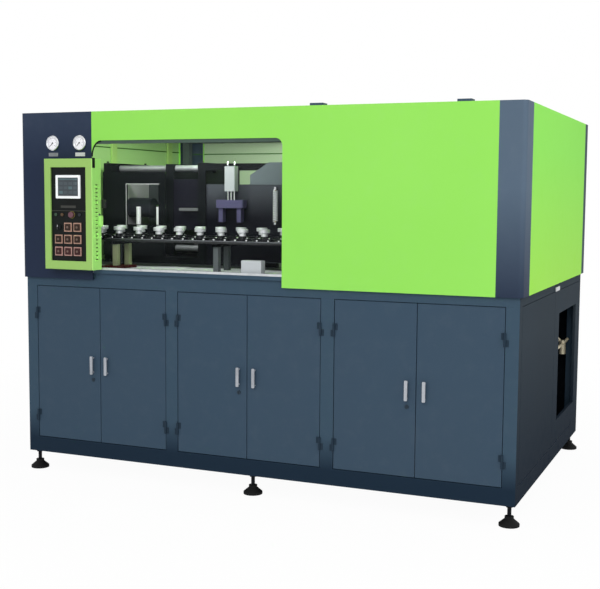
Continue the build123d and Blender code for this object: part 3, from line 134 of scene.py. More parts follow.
def tone(code):
    """A colour from the six digits that a picture editor shows, as the shader wants it."""
    shares = [int(code[place : place + 2], 16) / 255 for place in (0, 2, 4)]
    linear = [
        share / 12.92 if share <= 0.04045 else ((share + 0.055) / 1.055) ** 2.4 for share in shares
    ]
    return (*linear, 1.0)


class Finish(Tree):
    """A material with one main shader, and the patterns that vary it over the surface."""

    def __init__(self, name, **constants):
        self.material = bpy.data.materials.new(name)
        self.material.use_nodes = True
        super().__init__(self.material.node_tree)
        self.tree.nodes.clear()
        self.place = self.node("ShaderNodeTexCoord", output="Object")
        self.shader = self.node("ShaderNodeBsdfPrincipled")
        self.output = self.node("ShaderNodeOutputMaterial", {"Surface": self.shader})
        for name, value in constants.items():
            self.set(name.replace("_", " ").title().replace("Ior", "IOR"), value)

    def set(self, socket_name, value):
        self.feed(self.shader.socket.node.inputs[socket_name], value)

    def noise(self, scale, detail=2.0, stretch=None, roughness=0.5):
        """Noise from 0 to 1 with so many features to a metre, drawn out where it is stretched."""
        place = self.place
        if stretch:
            place = self.node("ShaderNodeMapping", {"Vector": place, "Scale": stretch})
        sockets = {"Vector": place, "Scale": scale, "Detail": detail, "Roughness": roughness}
        return self.node("ShaderNodeTexNoise", sockets)

    def spread(self, value, low, high):
        """A field brought from its range low to high onto 0 to 1, and held there."""
        return self.node("ShaderNodeMapRange", {0: value, 1: low, 2: high}, clamp=True)

    def mix(self, share, first, second):
        """A colour between two, by a share from 0 to 1."""
        return self.node("ShaderNodeMix", {0: share, 6: first, 7: second}, 2, data_type="RGBA")

    def along(self, direction):
        """How far a place lies along a direction, in metres."""
        sockets = {0: self.place, 1: direction}
        return self.node("ShaderNodeVectorMath", sockets, "Value", operation="DOT_PRODUCT")

    def faded(self, surface, foot):
        """Painted light and shade: a colour that fades to another one below, between the low and
        high height of foot.
        """
        if not foot:
            return surface
        low, high, painted_shading_colour = foot
        return self.mix(self.spread(self.along(UP), low, high), tone(painted_shading_colour), surface)

    def bump(self, height, depth, soft_edge=0.0):
        """Raises the surface by a height field, over edges that may be rounded by a radius."""
        sockets = {"Strength": 1.0, "Distance": depth, "Height": height}
        if soft_edge:
            sockets["Normal"] = self.node("ShaderNodeBevel", {"Radius": soft_edge}, samples=4)
        self.set("Normal", self.node("ShaderNodeBump", sockets))


# Finishes


def powder_coat(name, colour, shade, roughness=0.5, gloss=0.13, soft_edge=0.0, foot=None):
    """Powder coat on steel: clouds of a second shade, dull patches of dust, and orange peel; where
    a foot is given, painted light and shade by height.
    """
    coat = Finish(name, specular_ior_level=gloss)
    clouds = coat.spread(coat.noise(1.3, 3), 0.25, 0.75)
    dust = coat.spread(coat.noise(14, 5, roughness=0.65), 0.5, 0.8)
    fine = coat.noise(260, 3)
    surface = coat.mix(clouds, tone(colour), tone(shade))
    surface = coat.mix(dust * 0.025, surface, tone("A9AFB4"))
    coat.set("Base Color", coat.faded(surface, foot))
    coat.set("Roughness", roughness + dust * 0.1 + clouds * 0.03)
    coat.bump(fine, 0.06 * MM, soft_edge)
    return coat


def worn_paint(name, colour, worn_colour, roughness=0.5, foot=None):
    """Paint on a machine part that is handled: small chips and rubbed patches show another tone;
    where a foot is given, painted shade by height.
    """
    coat = Finish(name, specular_ior_level=0.05)
    patches = coat.spread(coat.noise(22, 6, roughness=0.7), 0.56, 0.72)
    chips = coat.spread(coat.noise(140, 4, roughness=0.6), 0.66, 0.7)
    rubbed = (patches * 0.35 + chips * 0.5).at_most(1.0)
    surface = coat.mix(rubbed, tone(colour), tone(worn_colour))
    coat.set("Base Color", coat.faded(surface, foot))
    coat.set("Roughness", roughness - rubbed * 0.1)
    coat.bump(coat.noise(320, 3) - chips * 0.4, 0.08 * MM)
    return coat


def brushed(name, colour, stained, roughness=0.3, grain=(3, 3, 260), metallic=1.0):
    """Ground or brushed metal: fine lines along its length and faint oily stains."""
    metal = Finish(name, metallic=metallic)
    lines = metal.noise(1.0, 4, stretch=grain)
    stains = metal.spread(metal.noise(16, 5, roughness=0.6), 0.48, 0.8)
    metal.set("Base Color", metal.mix(stains, tone(colour), tone(stained)))
    metal.set("Roughness", roughness + lines * 0.16 + stains * 0.1)
    metal.bump(lines, 0.05 * MM)
    return metal


def plated(name, colour, roughness=0.12):
    """Chrome or zinc plate, with faint smears."""
    metal = Finish(name, metallic=1.0)
    smears = metal.spread(metal.noise(38, 4, roughness=0.6), 0.45, 0.8)
    metal.set("Base Color", metal.mix(smears * 0.4, tone(colour), tone("7B8085")))
    metal.set("Roughness", roughness + smears * 0.14)
    metal.bump(metal.noise(90, 3), 0.03 * MM)
    return metal


def moulded(name, colour, shade, roughness=0.4, grain=700, depth=0.04, gloss=0.4):
    """Moulded plastic or rubber with a fine spark-eroded grain."""
    plastic = Finish(name, specular_ior_level=gloss)
    clouds = plastic.noise(11, 3)
    share = plastic.spread(clouds, 0.35, 0.65)
    plastic.set("Base Color", plastic.mix(share, tone(colour), tone(shade)))
    plastic.set("Roughness", roughness + clouds * 0.12)
    plastic.bump(plastic.noise(grain, 2), depth * MM)
    return plastic


def clear_sheet():
    """Polycarbonate: nearly clear, with wiping marks that catch the light."""
    sheet = Finish("clear guard sheet", base_color=tone("8F989C"), ior=1.5)
    wiped = sheet.spread(sheet.noise(1.0, 4, stretch=(2.2, 1, 9)), 0.45, 0.8)
    sheet.set("Alpha", 0.006 + wiped * 0.014)
    sheet.set("Roughness", 0.04 + wiped * 0.12)
    sheet.bump(sheet.noise(3, 2), 0.1 * MM)
    return sheet


def table_with_painted_shade():
    """Ground plate: bright along the front edge; behind it, under the machinery, painted shade
    darkens it.
    """
    plate = Finish("table plate", metallic=0.15)
    ragged = plate.along(BACK) + plate.noise(3.5, 5) * 0.35
    # Painted shade: the plate darkens behind its front edge, under the machinery.
    darkened = plate.spread(ragged, -0.34, -0.27)
    lines = plate.noise(1.0, 4, stretch=(220, 4, 4))
    plate_tone = plate.mix(plate.spread(plate.noise(16, 5), 0.48, 0.8), tone("D6DADD"), tone("B0B5BA"))
    plate.set("Base Color", plate.mix(darkened, plate_tone, tone("1C1F21")))
    plate.set("Roughness", 0.34 + lines * 0.16 + darkened * 0.1)
    plate.bump(lines, 0.05 * MM)
    return plate


def lamp_glass():
    """Quartz tube of an unlit heater lamp, with the bright reflector coat on its back half."""
    tube = Finish("quartz lamp tube", metallic=0.3, ior=1.46)
    bands = tube.noise(1.0, 3, stretch=(40, 2, 2))
    tube.set("Base Color", tube.mix(tube.spread(bands, 0.4, 0.6), tone("D7D3CB"), tone("A79F93")))
    tube.set("Roughness", 0.12 + bands * 0.15)
    return tube


green = powder_coat("green powder coat", "8ED75A", "91D95E", gloss=0.02)
# Painted light: the sides are a lighter copy of the front green, lighter still low down.
side_green_painted_light = powder_coat(
    "green powder coat of the sides", "8ADC57", "8DDE5B", gloss=0.02, foot=(1.15, 1.8, "9BDC54")
)
pale_green = powder_coat("pale green powder coat", "93BB65", "97BF69")
# Painted light: a lighter copy of the pod's pale green, for the faces of its right side.
pod_side_painted_light = powder_coat("green powder coat of the pod side", "A8E67B", "ACEA7F", gloss=0.02)
# Painted shade: greyed copies of the green for the inner faces of the hood, the rear wall's greyer
# still.
inside_green_painted_shade = powder_coat("green inside paint", "90BB72", "98C37A", roughness=0.6, gloss=0.08)
rear_green_painted_shade = powder_coat(
    "green inside paint of the rear wall", "9AB08F", "A2B897", roughness=0.6, gloss=0.08
)
seam_green = powder_coat("dark green sealing strip", "255610", "2E5F18", roughness=0.6, gloss=0.08)
slate = powder_coat("slate powder coat", "34485A", "37495A")
# Painted shade: the frame darkens towards the floor.
slate_frame = powder_coat(
    "slate frame paint", "33485A", "374B5B", soft_edge=2.5 * MM, foot=(0.18, 0.34, "0F2334")
)
# Painted shade: a darker copy of the slate for faces that look to the right, darker still towards
# the floor.
slate_painted_shade = powder_coat(
    "slate side panels", "2F373E", "333C44", roughness=0.6, gloss=0.01, foot=(0.12, 0.9, "141F2B")
)
# Painted light and shade: lighter at the top of the panel, darker below.
navy = powder_coat("navy powder coat", "293449", "2D394D", foot=(1.72, 1.96, "1F2A40"))
# Painted light and shade: the front corner covers lighter at the top and darker below.
corner_navy = powder_coat(
    "navy corner paint", "546474", "526274", gloss=0.03, foot=(1.1, 1.6, "2C3648")
)
# Painted shade: a darker copy of the corner paint for the rear corner covers.
corner_painted_shade = powder_coat("dark corner paint", "2D3F4A", "30424D", gloss=0.03)
inner_frame = powder_coat("inner frame paint", "47564E", "4E5D55", soft_edge=2.0 * MM)
rail_slate = powder_coat("guard rail slate", "43544C", "495A52", soft_edge=1.0 * MM)
table_steel = table_with_painted_shade()
rail_steel = brushed("guide rail steel", "6E7276", "3C4044", grain=(4, 300, 300), metallic=0.6)
rail_dark = brushed(
    "dark guide rail", "1E2123", "303336", roughness=0.42, grain=(4, 300, 300), metallic=0.3
)
mandrel_metal = brushed(
    "pale turned aluminium", "D6DADC", "9A9FA2", roughness=0.34, grain=(5, 5, 260), metallic=0.45
)
mandrel_dark = brushed(
    "dark mandrel foot", "24262A", "15171A", roughness=0.4, grain=(60, 60, 60), metallic=0.5
)
manifold_grey = brushed(
    "grey manifold", "66696A", "4E5153", roughness=0.4, grain=(5, 200, 200), metallic=0.3
)
bright_steel = plated("ground bright steel", "D9DCDF", roughness=0.1)
zinc = plated("zinc plated steel", "B9BDBF", roughness=0.24)
dark_steel = brushed("dark oiled steel", "3B3E43", "222529", roughness=0.36, grain=(60, 60, 60))
black_oxide = brushed("black oxide steel", "1B1C1F", "2B2D31", roughness=0.4, grain=(50, 50, 50))
cast_black = worn_paint("black machine paint", "0D1012", "1C2023", roughness=0.45)
machine_slate = worn_paint("dark slate machine paint", "30343A", "464D54", roughness=0.4)
mould_metal = worn_paint("dark mould steel", "15151D", "22222B", roughness=0.42)
anodised = brushed(
    "pale anodised aluminium", "C9CDD0", "A9AEB2", roughness=0.36, grain=(5, 5, 220), metallic=0.75
)
# Painted light and shade on one grey leg paint: a green-lit copy for the left legs, a darker copy
# for the rear right ones.
leg_grey_painted_green_light = worn_paint("olive leg paint", "969E7A", "B2B9A2", roughness=0.45)
leg_grey = worn_paint("grey leg paint", "5E6466", "848A8C", roughness=0.45)
leg_grey_painted_shade = worn_paint("dark leg paint", "454B4C", "60666A", roughness=0.45)
base_red = worn_paint("dark red base paint", "3C0F10", "241012")
violet = worn_paint("violet machine paint", "4C4B66", "62617E", roughness=0.36)
# Painted shade: the dark violet turns near black low down.
violet_dark = worn_paint(
    "dark violet machine paint", "3C4045", "494D54", roughness=0.4, foot=(1.42, 1.6, "0B0C13")
)
hood_grey = worn_paint("grey hood paint", "5A6467", "6F787C", roughness=0.42)
cover_grey = worn_paint("grey cover paint", "969799", "A8A9AC")
pillar_white = brushed("pale ground pillar", "E6E8EA", "C5C9CC", grain=(5, 5, 220), metallic=0.2)
white_enamel = powder_coat("white enamel", "A4AAAA", "9AA1A2", roughness=0.32)
pale_grey = powder_coat("pale grey enamel", "B4BABE", "BFC4C7", roughness=0.4)
grey_box = powder_coat("grey cabinet enamel", "9BA1A5", "A5ABAE", roughness=0.44)
tank_blue = powder_coat("blue tank enamel", "0D151F", "101A26", roughness=0.4, gloss=0.06)
black_rubber = moulded(
    "black rubber", "08090A", "0E0F10", roughness=0.7, grain=300, depth=0.12, gloss=0.2
)
bar_steel = brushed(
    "grey ground bar", "7A7E80", "5E6264", roughness=0.34, grain=(200, 5, 5), metallic=0.3
)
hinge_slate = powder_coat("dark hinge paint", "23313E", "273542", gloss=0.05)
# Painted shade: the inside of the cabinet in near black.
inside_painted_shade = powder_coat(
    "dark inside of the cabinet", "0B1016", "0E141A", roughness=0.6, gloss=0.02
)
black_plastic = moulded("black plastic", "101113", "17181B", roughness=0.42)
fascia_black = moulded(
    "black fascia laminate", "080D0C", "0D1312", roughness=0.36, grain=420, gloss=0.15
)
screen_white = moulded("pale screen frame plastic", "F0F3F5", "F4F7F9", roughness=0.36)
beige = moulded("beige bezel plastic", "A58170", "AE8A79", roughness=0.38)
rose = moulded("rose bezel plastic", "A37C73", "AC867D", roughness=0.38)
olive = moulded("brown button plastic", "2A1E18", "33261F", roughness=0.3, gloss=0.15)
maroon = moulded("maroon button plastic", "341B1B", "3E2323", roughness=0.3, gloss=0.15)
stop_red = moulded("stop button red", "5E3A44", "68434D", roughness=0.34)
signal_yellow = moulded("dull signal yellow", "6B5C2E", "766636", roughness=0.5)
lamp_green = moulded("green lamp lens", "233A2A", "2C4630", roughness=0.3)
lamp_amber = moulded("amber lamp lens", "4E3A22", "584228", roughness=0.3)
white_mark = moulded("white marking", "D8DADB", "C8CBCC", roughness=0.5)
grey_mark = moulded("grey label", "787B80", "82858A", roughness=0.45)
dial_white = moulded("dial face", "F6F5FA", "F0EFF6", roughness=0.35)
hose_white = moulded("white air hose", "D9DDDE", "C9CED1", roughness=0.28)
display_grey = moulded("display glass", "333B41", "3B444A", roughness=0.16)
tile_grey = moulded("display tiles", "3E484E", "465259", roughness=0.2)
label_dark = moulded("dark label", "2E2F2B", "383933", roughness=0.5)
button_mark = moulded("button legend", "5E4A3F", "69544A")
tile_teal = moulded("display accents", "465B60", "50676C", roughness=0.2)
guard_clear = clear_sheet()
quartz = lamp_glass()
brass = plated("brass fitting", "B79A5B", roughness=0.25)
pale_brass = brushed(
    "pale brass valve", "D8CFB4", "A89F84", roughness=0.35, grain=(60, 60, 60), metallic=0.3
)
lock_slate = powder_coat("dark lock face", "26323C", "2B3742")
bar_grey = brushed(
    "satin handle bar", "A9ADB4", "8E9298", roughness=0.4, grain=(200, 200, 5), metallic=0.4
)


# Pieces: blocks, turned forms and prisms, or the solids of a CAD node, each with its finish


def new_object(name, data):
    item = bpy.data.objects.new(name, data)
    bpy.context.scene.collection.objects.link(item)
    return item


def plain_mesh(item):
    """The mesh that an object shows, with its modifiers run."""
    bpy.context.view_layer.update()
    shown = item.evaluated_get(bpy.context.evaluated_depsgraph_get())
    return bpy.data.meshes.new_from_object(shown)


def joined(corners):
    """The corners in groups that edges join, one group for each solid."""
    groups = []
    seen = set()
    for start in corners:
        if start in seen:
            continue
        seen.add(start)
        group = [start]
        for corner in group:
            for edge in corner.link_edges:
                other = edge.other_vert(corner)
                if other not in seen:
                    seen.add(other)
                    group.append(other)
        groups.append(group)
    return groups


class Piece:
    """One mesh piece, put together from simple forms that each have a finish of their own."""

    def __init__(self, name):
        self.name = name
        self.form = bmesh.new()
        self.finishes = []

    def paint(self, faces, finish):
        if finish not in self.finishes:
            self.finishes.append(finish)
        for face in faces:
            face.material_index = self.finishes.index(finish)

    def closed(self, corners, sides, finish):
        """Adds a closed form from its corners and its faces' corner numbers."""
        points = [self.form.verts.new(corner) for corner in corners]
        faces = [self.form.faces.new([points[number] for number in side]) for side in sides]
        bmesh.ops.recalc_face_normals(self.form, faces=faces)
        self.paint(faces, finish)
        return self

    def block(self, low, high, finish):
        """A block between two corners."""
        sides = [(0, 1, 3, 2), (4, 6, 7, 5), (0, 4, 5, 1), (2, 3, 7, 6), (0, 2, 6, 4), (1, 5, 7, 3)]
        return self.closed(product(*zip(low, high)), sides, finish)

    def prism(self, outline, origin, across, up, depth, finish):
        """A flat outline of (across, up) points, made so deep away from its plane."""
        across = Vector(across)
        up = Vector(up)
        away = across.cross(up).normalized() * depth
        near = [Vector(origin) + across * u + up * v for u, v in outline]
        far = [point + away for point in near]
        count = len(outline)
        sides = [tuple(range(count)), tuple(range(count, 2 * count))]
        for number in range(count):
            after = (number + 1) % count
            sides.append((number, after, after + count, number + count))
        return self.closed(near + far, sides, finish)

    def turned(self, foot, axis, profile, finish, sides=40):
        """A form turned about an axis, from (radius, height) points in millimetres.

        Its ends are closed, or it is a ring where the profile comes back to its first point.
        """
        turn = Vector(axis).to_track_quat("Z", "Y").to_matrix()
        is_ring = profile[0] == profile[-1]
        corners = []
        for radius, height in profile[:-1] if is_ring else profile:
            for step in range(sides):
                angle = 2 * pi * (step + 0.5) / sides
                spoke = Vector((radius * cos(angle), radius * sin(angle), height)) * MM
                corners.append(Vector(foot) + turn @ spoke)
        count = len(corners)
        faces = [] if is_ring else [tuple(range(sides)), tuple(range(count - sides, count))]
        for level in range(len(profile) - 1):
            low = level * sides
            high = (low + sides) % count
            for step in range(sides):
                after = (step + 1) % sides
                faces.append((low + step, low + after, high + after, high + step))
        return self.closed(corners, faces, finish)

    def solids(self, node, choose):
        """The solids of a CAD node, each in the finish that choose gives for its box."""
        self.form.from_mesh(nodes[node].data)
        bmesh.ops.remove_doubles(self.form, verts=self.form.verts[:], dist=0.01 * MM)
        for group in joined(self.form.verts[:]):
            low = Vector([min(corner.co[axis] for corner in group) for axis in range(3)])
            high = Vector([max(corner.co[axis] for corner in group) for axis in range(3)])
            faces = dict.fromkeys(face for corner in group for face in corner.link_faces)
            self.paint(faces, choose(low, high))
            edges = dict.fromkeys(edge for face in faces for edge in face.edges)
            bmesh.ops.dissolve_limit(
                self.form,
                angle_limit=radians(1),
                verts=group,
                edges=list(edges),
                delimit={"MATERIAL"},
            )
        return self

    def numbers(self, text, size, middle, finish):
        """A number on a face that looks to the front, a hair proud of it."""
        curve = bpy.data.curves.new("number", "FONT")
        curve.body = text
        curve.size = size
        curve.align_x = "CENTER"
        curve.align_y = "CENTER"
        curve.extrude = 0.1 * MM
        sign = new_object("number", curve)
        shape = plain_mesh(sign)
        shape.transform(Matrix.Translation(middle) @ Matrix.Rotation(radians(90), 4, "X"))
        known = set(self.form.faces)
        self.form.from_mesh(shape)
        self.paint([face for face in self.form.faces if face not in known], finish)
        bpy.data.objects.remove(sign)

    def mesh(self):
        """Writes the form into a mesh and frees it."""
        mesh = bpy.data.meshes.new(self.name)
        self.form.to_mesh(mesh)
        self.form.free()
        return mesh

    def done(self, body=MACHINE, stands_for=(), slot=None, edge=0.0):
        """The finished piece, riding on its body, its edges softened by so many millimetres."""
        mesh = self.mesh()
        for name in ("custom_normal", "sharp_edge", "sharp_face"):
            if name in mesh.attributes:
                mesh.attributes.remove(mesh.attributes[name])
        for finish in self.finishes:
            mesh.materials.append(finish.material)
        settle(self.name, mesh, body, stands_for, edge)


def settle(name, mesh, body, stands_for, edge=0.0):
    """Gives a mesh its shading, its bevel, its body and the CAD nodes that it stands for."""
    mesh.shade_smooth()
    mesh.set_sharp_from_angle(angle=radians(32))
    faces_at = Counter(key for face in mesh.polygons for key in face.edge_keys)
    for line in mesh.edges:
        if faces_at[line.key] != 2:
            line.use_edge_sharp = True
    piece = new_object(name, mesh)
    if edge:
        soften = piece.modifiers.new("soft edges", "BEVEL")
        soften.width = edge * MM
        soften.segments = 2
        soften.limit_method = "ANGLE"
        soften.angle_limit = radians(40)
        soften.harden_normals = True
    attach(piece, body)
    if stands_for:
        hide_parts(*stands_for)


def dress(node, finish, slot, edge=0.6, picked=None, other=None):
    """Stands for a CAD node with its own solids, their edges softened.

    They share one finish, or a rule gives each solid its own by its box. The faces that picked
    takes, by their middle and normal, get another finish.
    """
    choose = finish if callable(finish) else lambda low, high: finish
    piece = Piece(f"{node}_dressed").solids(node, choose)
    if picked:
        taken = [f for f in piece.form.faces if picked(f.calc_center_median(), f.normal)]
        piece.paint(taken, other)
    piece.done(body_of[node], [node], slot, edge)


def coat(node, finish):
    """Gives a CAD node whose shape is right its finish."""
    if not nodes[node].material_slots:
        nodes[node].data.materials.append(None)
    for place in nodes[node].material_slots:
        place.material = finish.material


def bar(name, low, high, finish, slot, body=MACHINE, edge=0.0):
    """A piece that is one block between two corners."""
    Piece(name).block(low, high, finish).done(body, (), slot, edge)


# Makers: Geometry Nodes trees for what repeats or follows a path


class Maker(Tree):
    """A Geometry Nodes tree with named inputs that ends in real, finished geometry."""

    def __init__(self, name, inputs):
        super().__init__(bpy.data.node_groups.new(name, "GeometryNodeTree"))
        face = self.tree.interface
        face.new_socket("Geometry", in_out="OUTPUT", socket_type="NodeSocketGeometry")
        self.inputs = {}
        for label, kind in {"Geometry": "Geometry", **inputs, "Finish": "Material"}.items():
            socket = face.new_socket(label, in_out="INPUT", socket_type=f"NodeSocket{kind}")
            self.inputs[label] = socket.identifier
        entry = self.tree.nodes.new("NodeGroupInput")
        self.given = {label: Field(self, entry.outputs[label]) for label in self.inputs}

    def finish(self, geometry):
        """Closes the tree: real geometry in the finish that was given."""
        real = self.node("GeometryNodeRealizeInstances", {0: geometry})
        sockets = {"Geometry": real, "Material": self.given["Finish"]}
        self.node("NodeGroupOutput", {0: self.node("GeometryNodeSetMaterial", sockets)})

    def set_out(self, points, item, rotation):
        """Closes the tree with an item on each of the points."""
        sockets = {"Points": points, "Instance": item, "Rotation": rotation}
        self.finish(self.node("GeometryNodeInstanceOnPoints", sockets))

    def make(self, name, values, finish, points=(), turns=(), stands_for=(), slot=None):
        """Runs the tree on its points, each with its turn, and gives a plain mesh piece."""
        mesh = bpy.data.meshes.new(name)
        mesh.from_pydata([tuple(point) for point in points], [], [])
        if turns:
            mesh.attributes.new("turn", "FLOAT", "POINT").data.foreach_set("value", list(turns))
        carrier = new_object(name, mesh)
        run = carrier.modifiers.new("make", "NODES")
        run.node_group = self.tree
        for label, value in {**values, "Finish": finish.material}.items():
            run[self.inputs[label]] = value
        plain = plain_mesh(carrier)
        carrier.modifiers.remove(run)
        bpy.data.objects.remove(carrier)
        settle(name, plain, MACHINE, stands_for)


def copies_maker():
    """Copies of one item on points, each turned about an axis by the point's own turn."""
    maker = Maker("copies on points", {"Item": "Object", "Axis": "Vector"})
    given = maker.given
    turn = maker.node("GeometryNodeInputNamedAttribute", {"Name": "turn"}, data_type="FLOAT")
    turned = maker.node("FunctionNodeAxisAngleToRotation", {"Axis": given["Axis"], "Angle": turn})
    item = maker.node("GeometryNodeObjectInfo", {"Object": given["Item"]}, "Geometry")
    maker.set_out(given["Geometry"], item, turned)
    return maker


def fastener_maker():
    """A row of round or hexagon heads from one place to another, standing on a face."""
    places = dict.fromkeys(("Start", "End", "Facing"), "Vector")
    maker = Maker(
        "row of fasteners",
        {**places, "Count": "Int", "Sides": "Int", "Radius": "Float", "Height": "Float"},
    )
    given = maker.given
    line = {"Count": given["Count"], "Start Location": given["Start"], "Offset": given["End"]}
    row = maker.node("GeometryNodeMeshLine", line, mode="END_POINTS")
    head = maker.node(
        "GeometryNodeMeshCone",
        {
            "Vertices": given["Sides"],
            "Radius Top": given["Radius"] * 0.82,
            "Radius Bottom": given["Radius"],
            "Depth": given["Height"],
        },
    )
    facing = {"Vector": given["Facing"]}
    maker.set_out(row, head, maker.node("FunctionNodeAlignRotationToVector", facing, axis="Z"))
    return maker


def coil_maker():
    """A hose wound on an upright line, whose first and last half turns close in on the line."""
    sizes = dict.fromkeys(("Height", "Radius", "Turns", "Thickness"), "Float")
    maker = Maker("wound hose", {"Foot": "Vector", **sizes})
    given = maker.given
    line = maker.node("GeometryNodeCurvePrimitiveLine", {"End": UP})
    points = maker.node("GeometryNodeResampleCurve", {"Curve": line, "Count": 520})
    along = maker.node("GeometryNodeSplineParameter")
    wound = along * given["Turns"]
    rest = (1 - along) * given["Turns"]
    reach = given["Radius"] * (wound * 2).at_most(rest * 2).at_most(1.0)
    angle = wound * (2 * pi)
    spoke = {"X": angle.cosine() * reach, "Y": angle.sine() * reach, "Z": along * given["Height"]}
    ends = {0: maker.node("ShaderNodeCombineXYZ", spoke), 1: given["Foot"]}
    raised = maker.node("ShaderNodeVectorMath", ends, operation="ADD")
    path = maker.node("GeometryNodeSetPosition", {"Geometry": points, "Position": raised})
    circle = {"Resolution": 10, "Radius": given["Thickness"]}
    outline = maker.node("GeometryNodeCurvePrimitiveCircle", circle)
    swept = {"Curve": path, "Profile Curve": outline, "Fill Caps": True}
    maker.finish(maker.node("GeometryNodeCurveToMesh", swept))
    return maker


copies = copies_maker()
fasteners = fastener_maker()
coil = coil_maker()


def copied(name, pattern, places, axis=UP, **rest):
    """Copies of a pattern piece, in its own finish, on (place, turn) pairs."""
    item = new_object(pattern.name, pattern.mesh())
    values = {"Item": item, "Axis": axis}
    copies.make(name, values, pattern.finishes[0], *zip(*places), **rest)
    bpy.data.objects.remove(item)


def screw_row(name, start, end, count, facing, radius=5, height=3, sides=12, finish=None):
    """A row of screw heads, whose radius and height are in millimetres."""
    values = {
        "Count": count,
        "Start": start,
        "End": end,
        "Facing": facing,
        "Radius": radius * MM,
        "Height": height * MM,
        "Sides": sides,
    }
    fasteners.make(name, values, finish or zinc)


# Nodes dressed by a finish or a simple rule: the paint slot, and the millimetres on their edges


def by_start(axis, limit, beyond, before):
    """A rule that picks a finish by where a solid starts along an axis."""
    return lambda low, high: beyond if low[axis] > limit else before


def by_size(axis, limit, large, small):
    """A rule that picks a finish by how long a solid is along an axis."""
    return lambda low, high: large if (high - low)[axis] > limit else small


low_row_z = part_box("button_bezels")[0].z + 60 * MM
for node, finish, slot, edge in (
    # Right side panels in the slate with painted shade.
    ("base_side_panels", by_start(X, 0, slate_painted_shade, slate), "slate_paint", 0),
    ("levelling_feet", by_start(Z, 10 * MM, black_oxide, black_rubber), "black_metal", 0.8),
    # Rear corner covers in the copy with painted shade, front ones with painted light and shade by
    # height.
    ("corner_covers", by_start(Y, 0, corner_painted_shade, corner_navy), "slate_paint", 0),
    ("roof_panels", by_size(X, 0.1, green, slate), "green_paint", 0),
    ("guard_tracks", by_start(Z, 1.3, cast_black, anodised), "aluminium", 0.3),
    ("button_bezels", by_start(Z, low_row_z, beige, rose), "beige_plastic", 0.7),
    ("tie_bars", by_size(X, 0.1, bar_steel, black_oxide), "chrome", 0.8),
    ("moving_platen", by_size(Z, 0.2, cast_black, bright_steel), "black_metal", 1.0),
    ("stretch_guides", by_size(Z, 0.4, bright_steel, dark_steel), "dark_steel", 0.6),
    ("door_hinges", hinge_slate, "slate_paint", 0.3),
    ("guard_grip", black_plastic, "black_plastic", 1.0),
    ("touchscreen", screen_white, "grey_plastic", 0.8),
    ("selector_knob", black_plastic, "black_plastic", 0.6),
    ("emergency_stop", stop_red, "red_plastic", 0.8),
    ("gauge_cases", bright_steel, "chrome", 0.5),
    ("gauge_needle_left", black_plastic, "black_metal", 0),
    ("gauge_needle_right", black_plastic, "black_metal", 0),
    ("star_wheels", dark_steel, "dark_steel", 0.5),
    ("drive_chain", black_oxide, "black_metal", 0.6),
    ("clamp_cylinder", machine_slate, "dark_steel", 0.8),
    ("mould_half_moving", mould_metal, "dark_steel", 0.8),
    ("mould_half_fixed", mould_metal, "dark_steel", 0.8),
    ("stretch_carriage", zinc, "bright_steel", 0.6),
    ("junction_box", pale_grey, "grey_plastic", 1.2),
    ("air_tank", tank_blue, "blue_paint", 1.5),
    ("filter_regulator", pale_brass, "bright_steel", 0.8),
    ("electrical_box", grey_box, "grey_paint", 1.2),
):
    dress(node, finish, slot, edge)
for node, finish in (
    # The service panel on the right side in the slate with painted shade.
    ("service_panel", slate_painted_shade),
    ("table_plate", table_steel),
    ("front_skin", green),
    # The front left panel in the navy with painted light and shade by height.
    ("front_left_panel", navy),
    ("upper_frame", inner_frame),
    ("guard_door", guard_clear),
):
    coat(node, finish)

# Cabinet: frame, rear panels, doors, and the trim of the front rail

base_low, base_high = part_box("base_frame")
table_low, table_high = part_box("table_plate")
track_low, track_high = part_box("guard_tracks")
right_post_inside = 1.3


def on_right_end(middle, normal):
    return normal.x > 0.5 and middle.x > right_post_inside


def looks_forward(middle, normal):
    return normal.y < -0.5


def looks_in_sideways(middle, normal):
    return (normal.x if middle.x > 0 else -normal.x) < -0.5


def door_finish(low, high):
    """The leaf in slate, its hinge halves and lock darker, the bar handle and its posts bright."""
    size = high - low
    if size.z > 0.5:
        return slate
    if 28 * MM < size.z < 40 * MM and size.x > 17 * MM:
        return hinge_slate
    return lock_slate if size.y < 6 * MM else bar_grey


# The frame darkens near the floor with painted shade; its right-facing ends take the slate with
# painted shade.
dress("base_frame", slate_frame, "slate_paint", 0, on_right_end, slate_painted_shade)
# The rear panels' inner faces take the near black of painted shade.
dress("rear_base_panels", slate, "slate_paint", 0, looks_forward, inside_painted_shade)
for number in (1, 2, 3):
    for side in ("left", "right"):
        dress(f"door_{number}_{side}", door_finish, "slate_paint", 0.5)

rail_low_z = table_low.z - 80 * MM
bar(
    "ledge_trim",
    (track_low.x, table_low.y - 1.5 * MM, table_low.z),
    (track_high.x, table_low.y, table_high.z),
    slate_frame,
    "slate_paint",
)
# The plate on the rail's right end in the slate with painted shade.
bar(
    "rail_end_plate",
    (base_high.x - 0.5 * MM, base_low.y + 1 * MM, rail_low_z + 2 * MM),
    (base_high.x + 1 * MM, base_low.y + 59 * MM, table_low.z - 2 * MM),
    slate_painted_shade,
    "slate_paint",
    edge=0.3,
)
side_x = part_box("base_side_panels")[1].x
lug_y = 0.120
bar(
    "side_panel_lug",
    (side_x - 1 * MM, lug_y - 60 * MM, rail_low_z),
    (side_x + 7 * MM, lug_y + 60 * MM, rail_low_z + 24 * MM),
    zinc,
    "bright_steel",
    edge=3.0,
)

# Hood: skins, the guard's rail, what shows inside, and the window's edging

# The sides in the green with painted light; the inner faces of sides and rear wall in greyed copies
# with painted shade.
dress("side_skins", side_green_painted_light, "green_paint", 0, looks_in_sideways, inside_green_painted_shade)
dress("rear_skins", green, "green_paint", 0, looks_forward, rear_green_painted_shade)

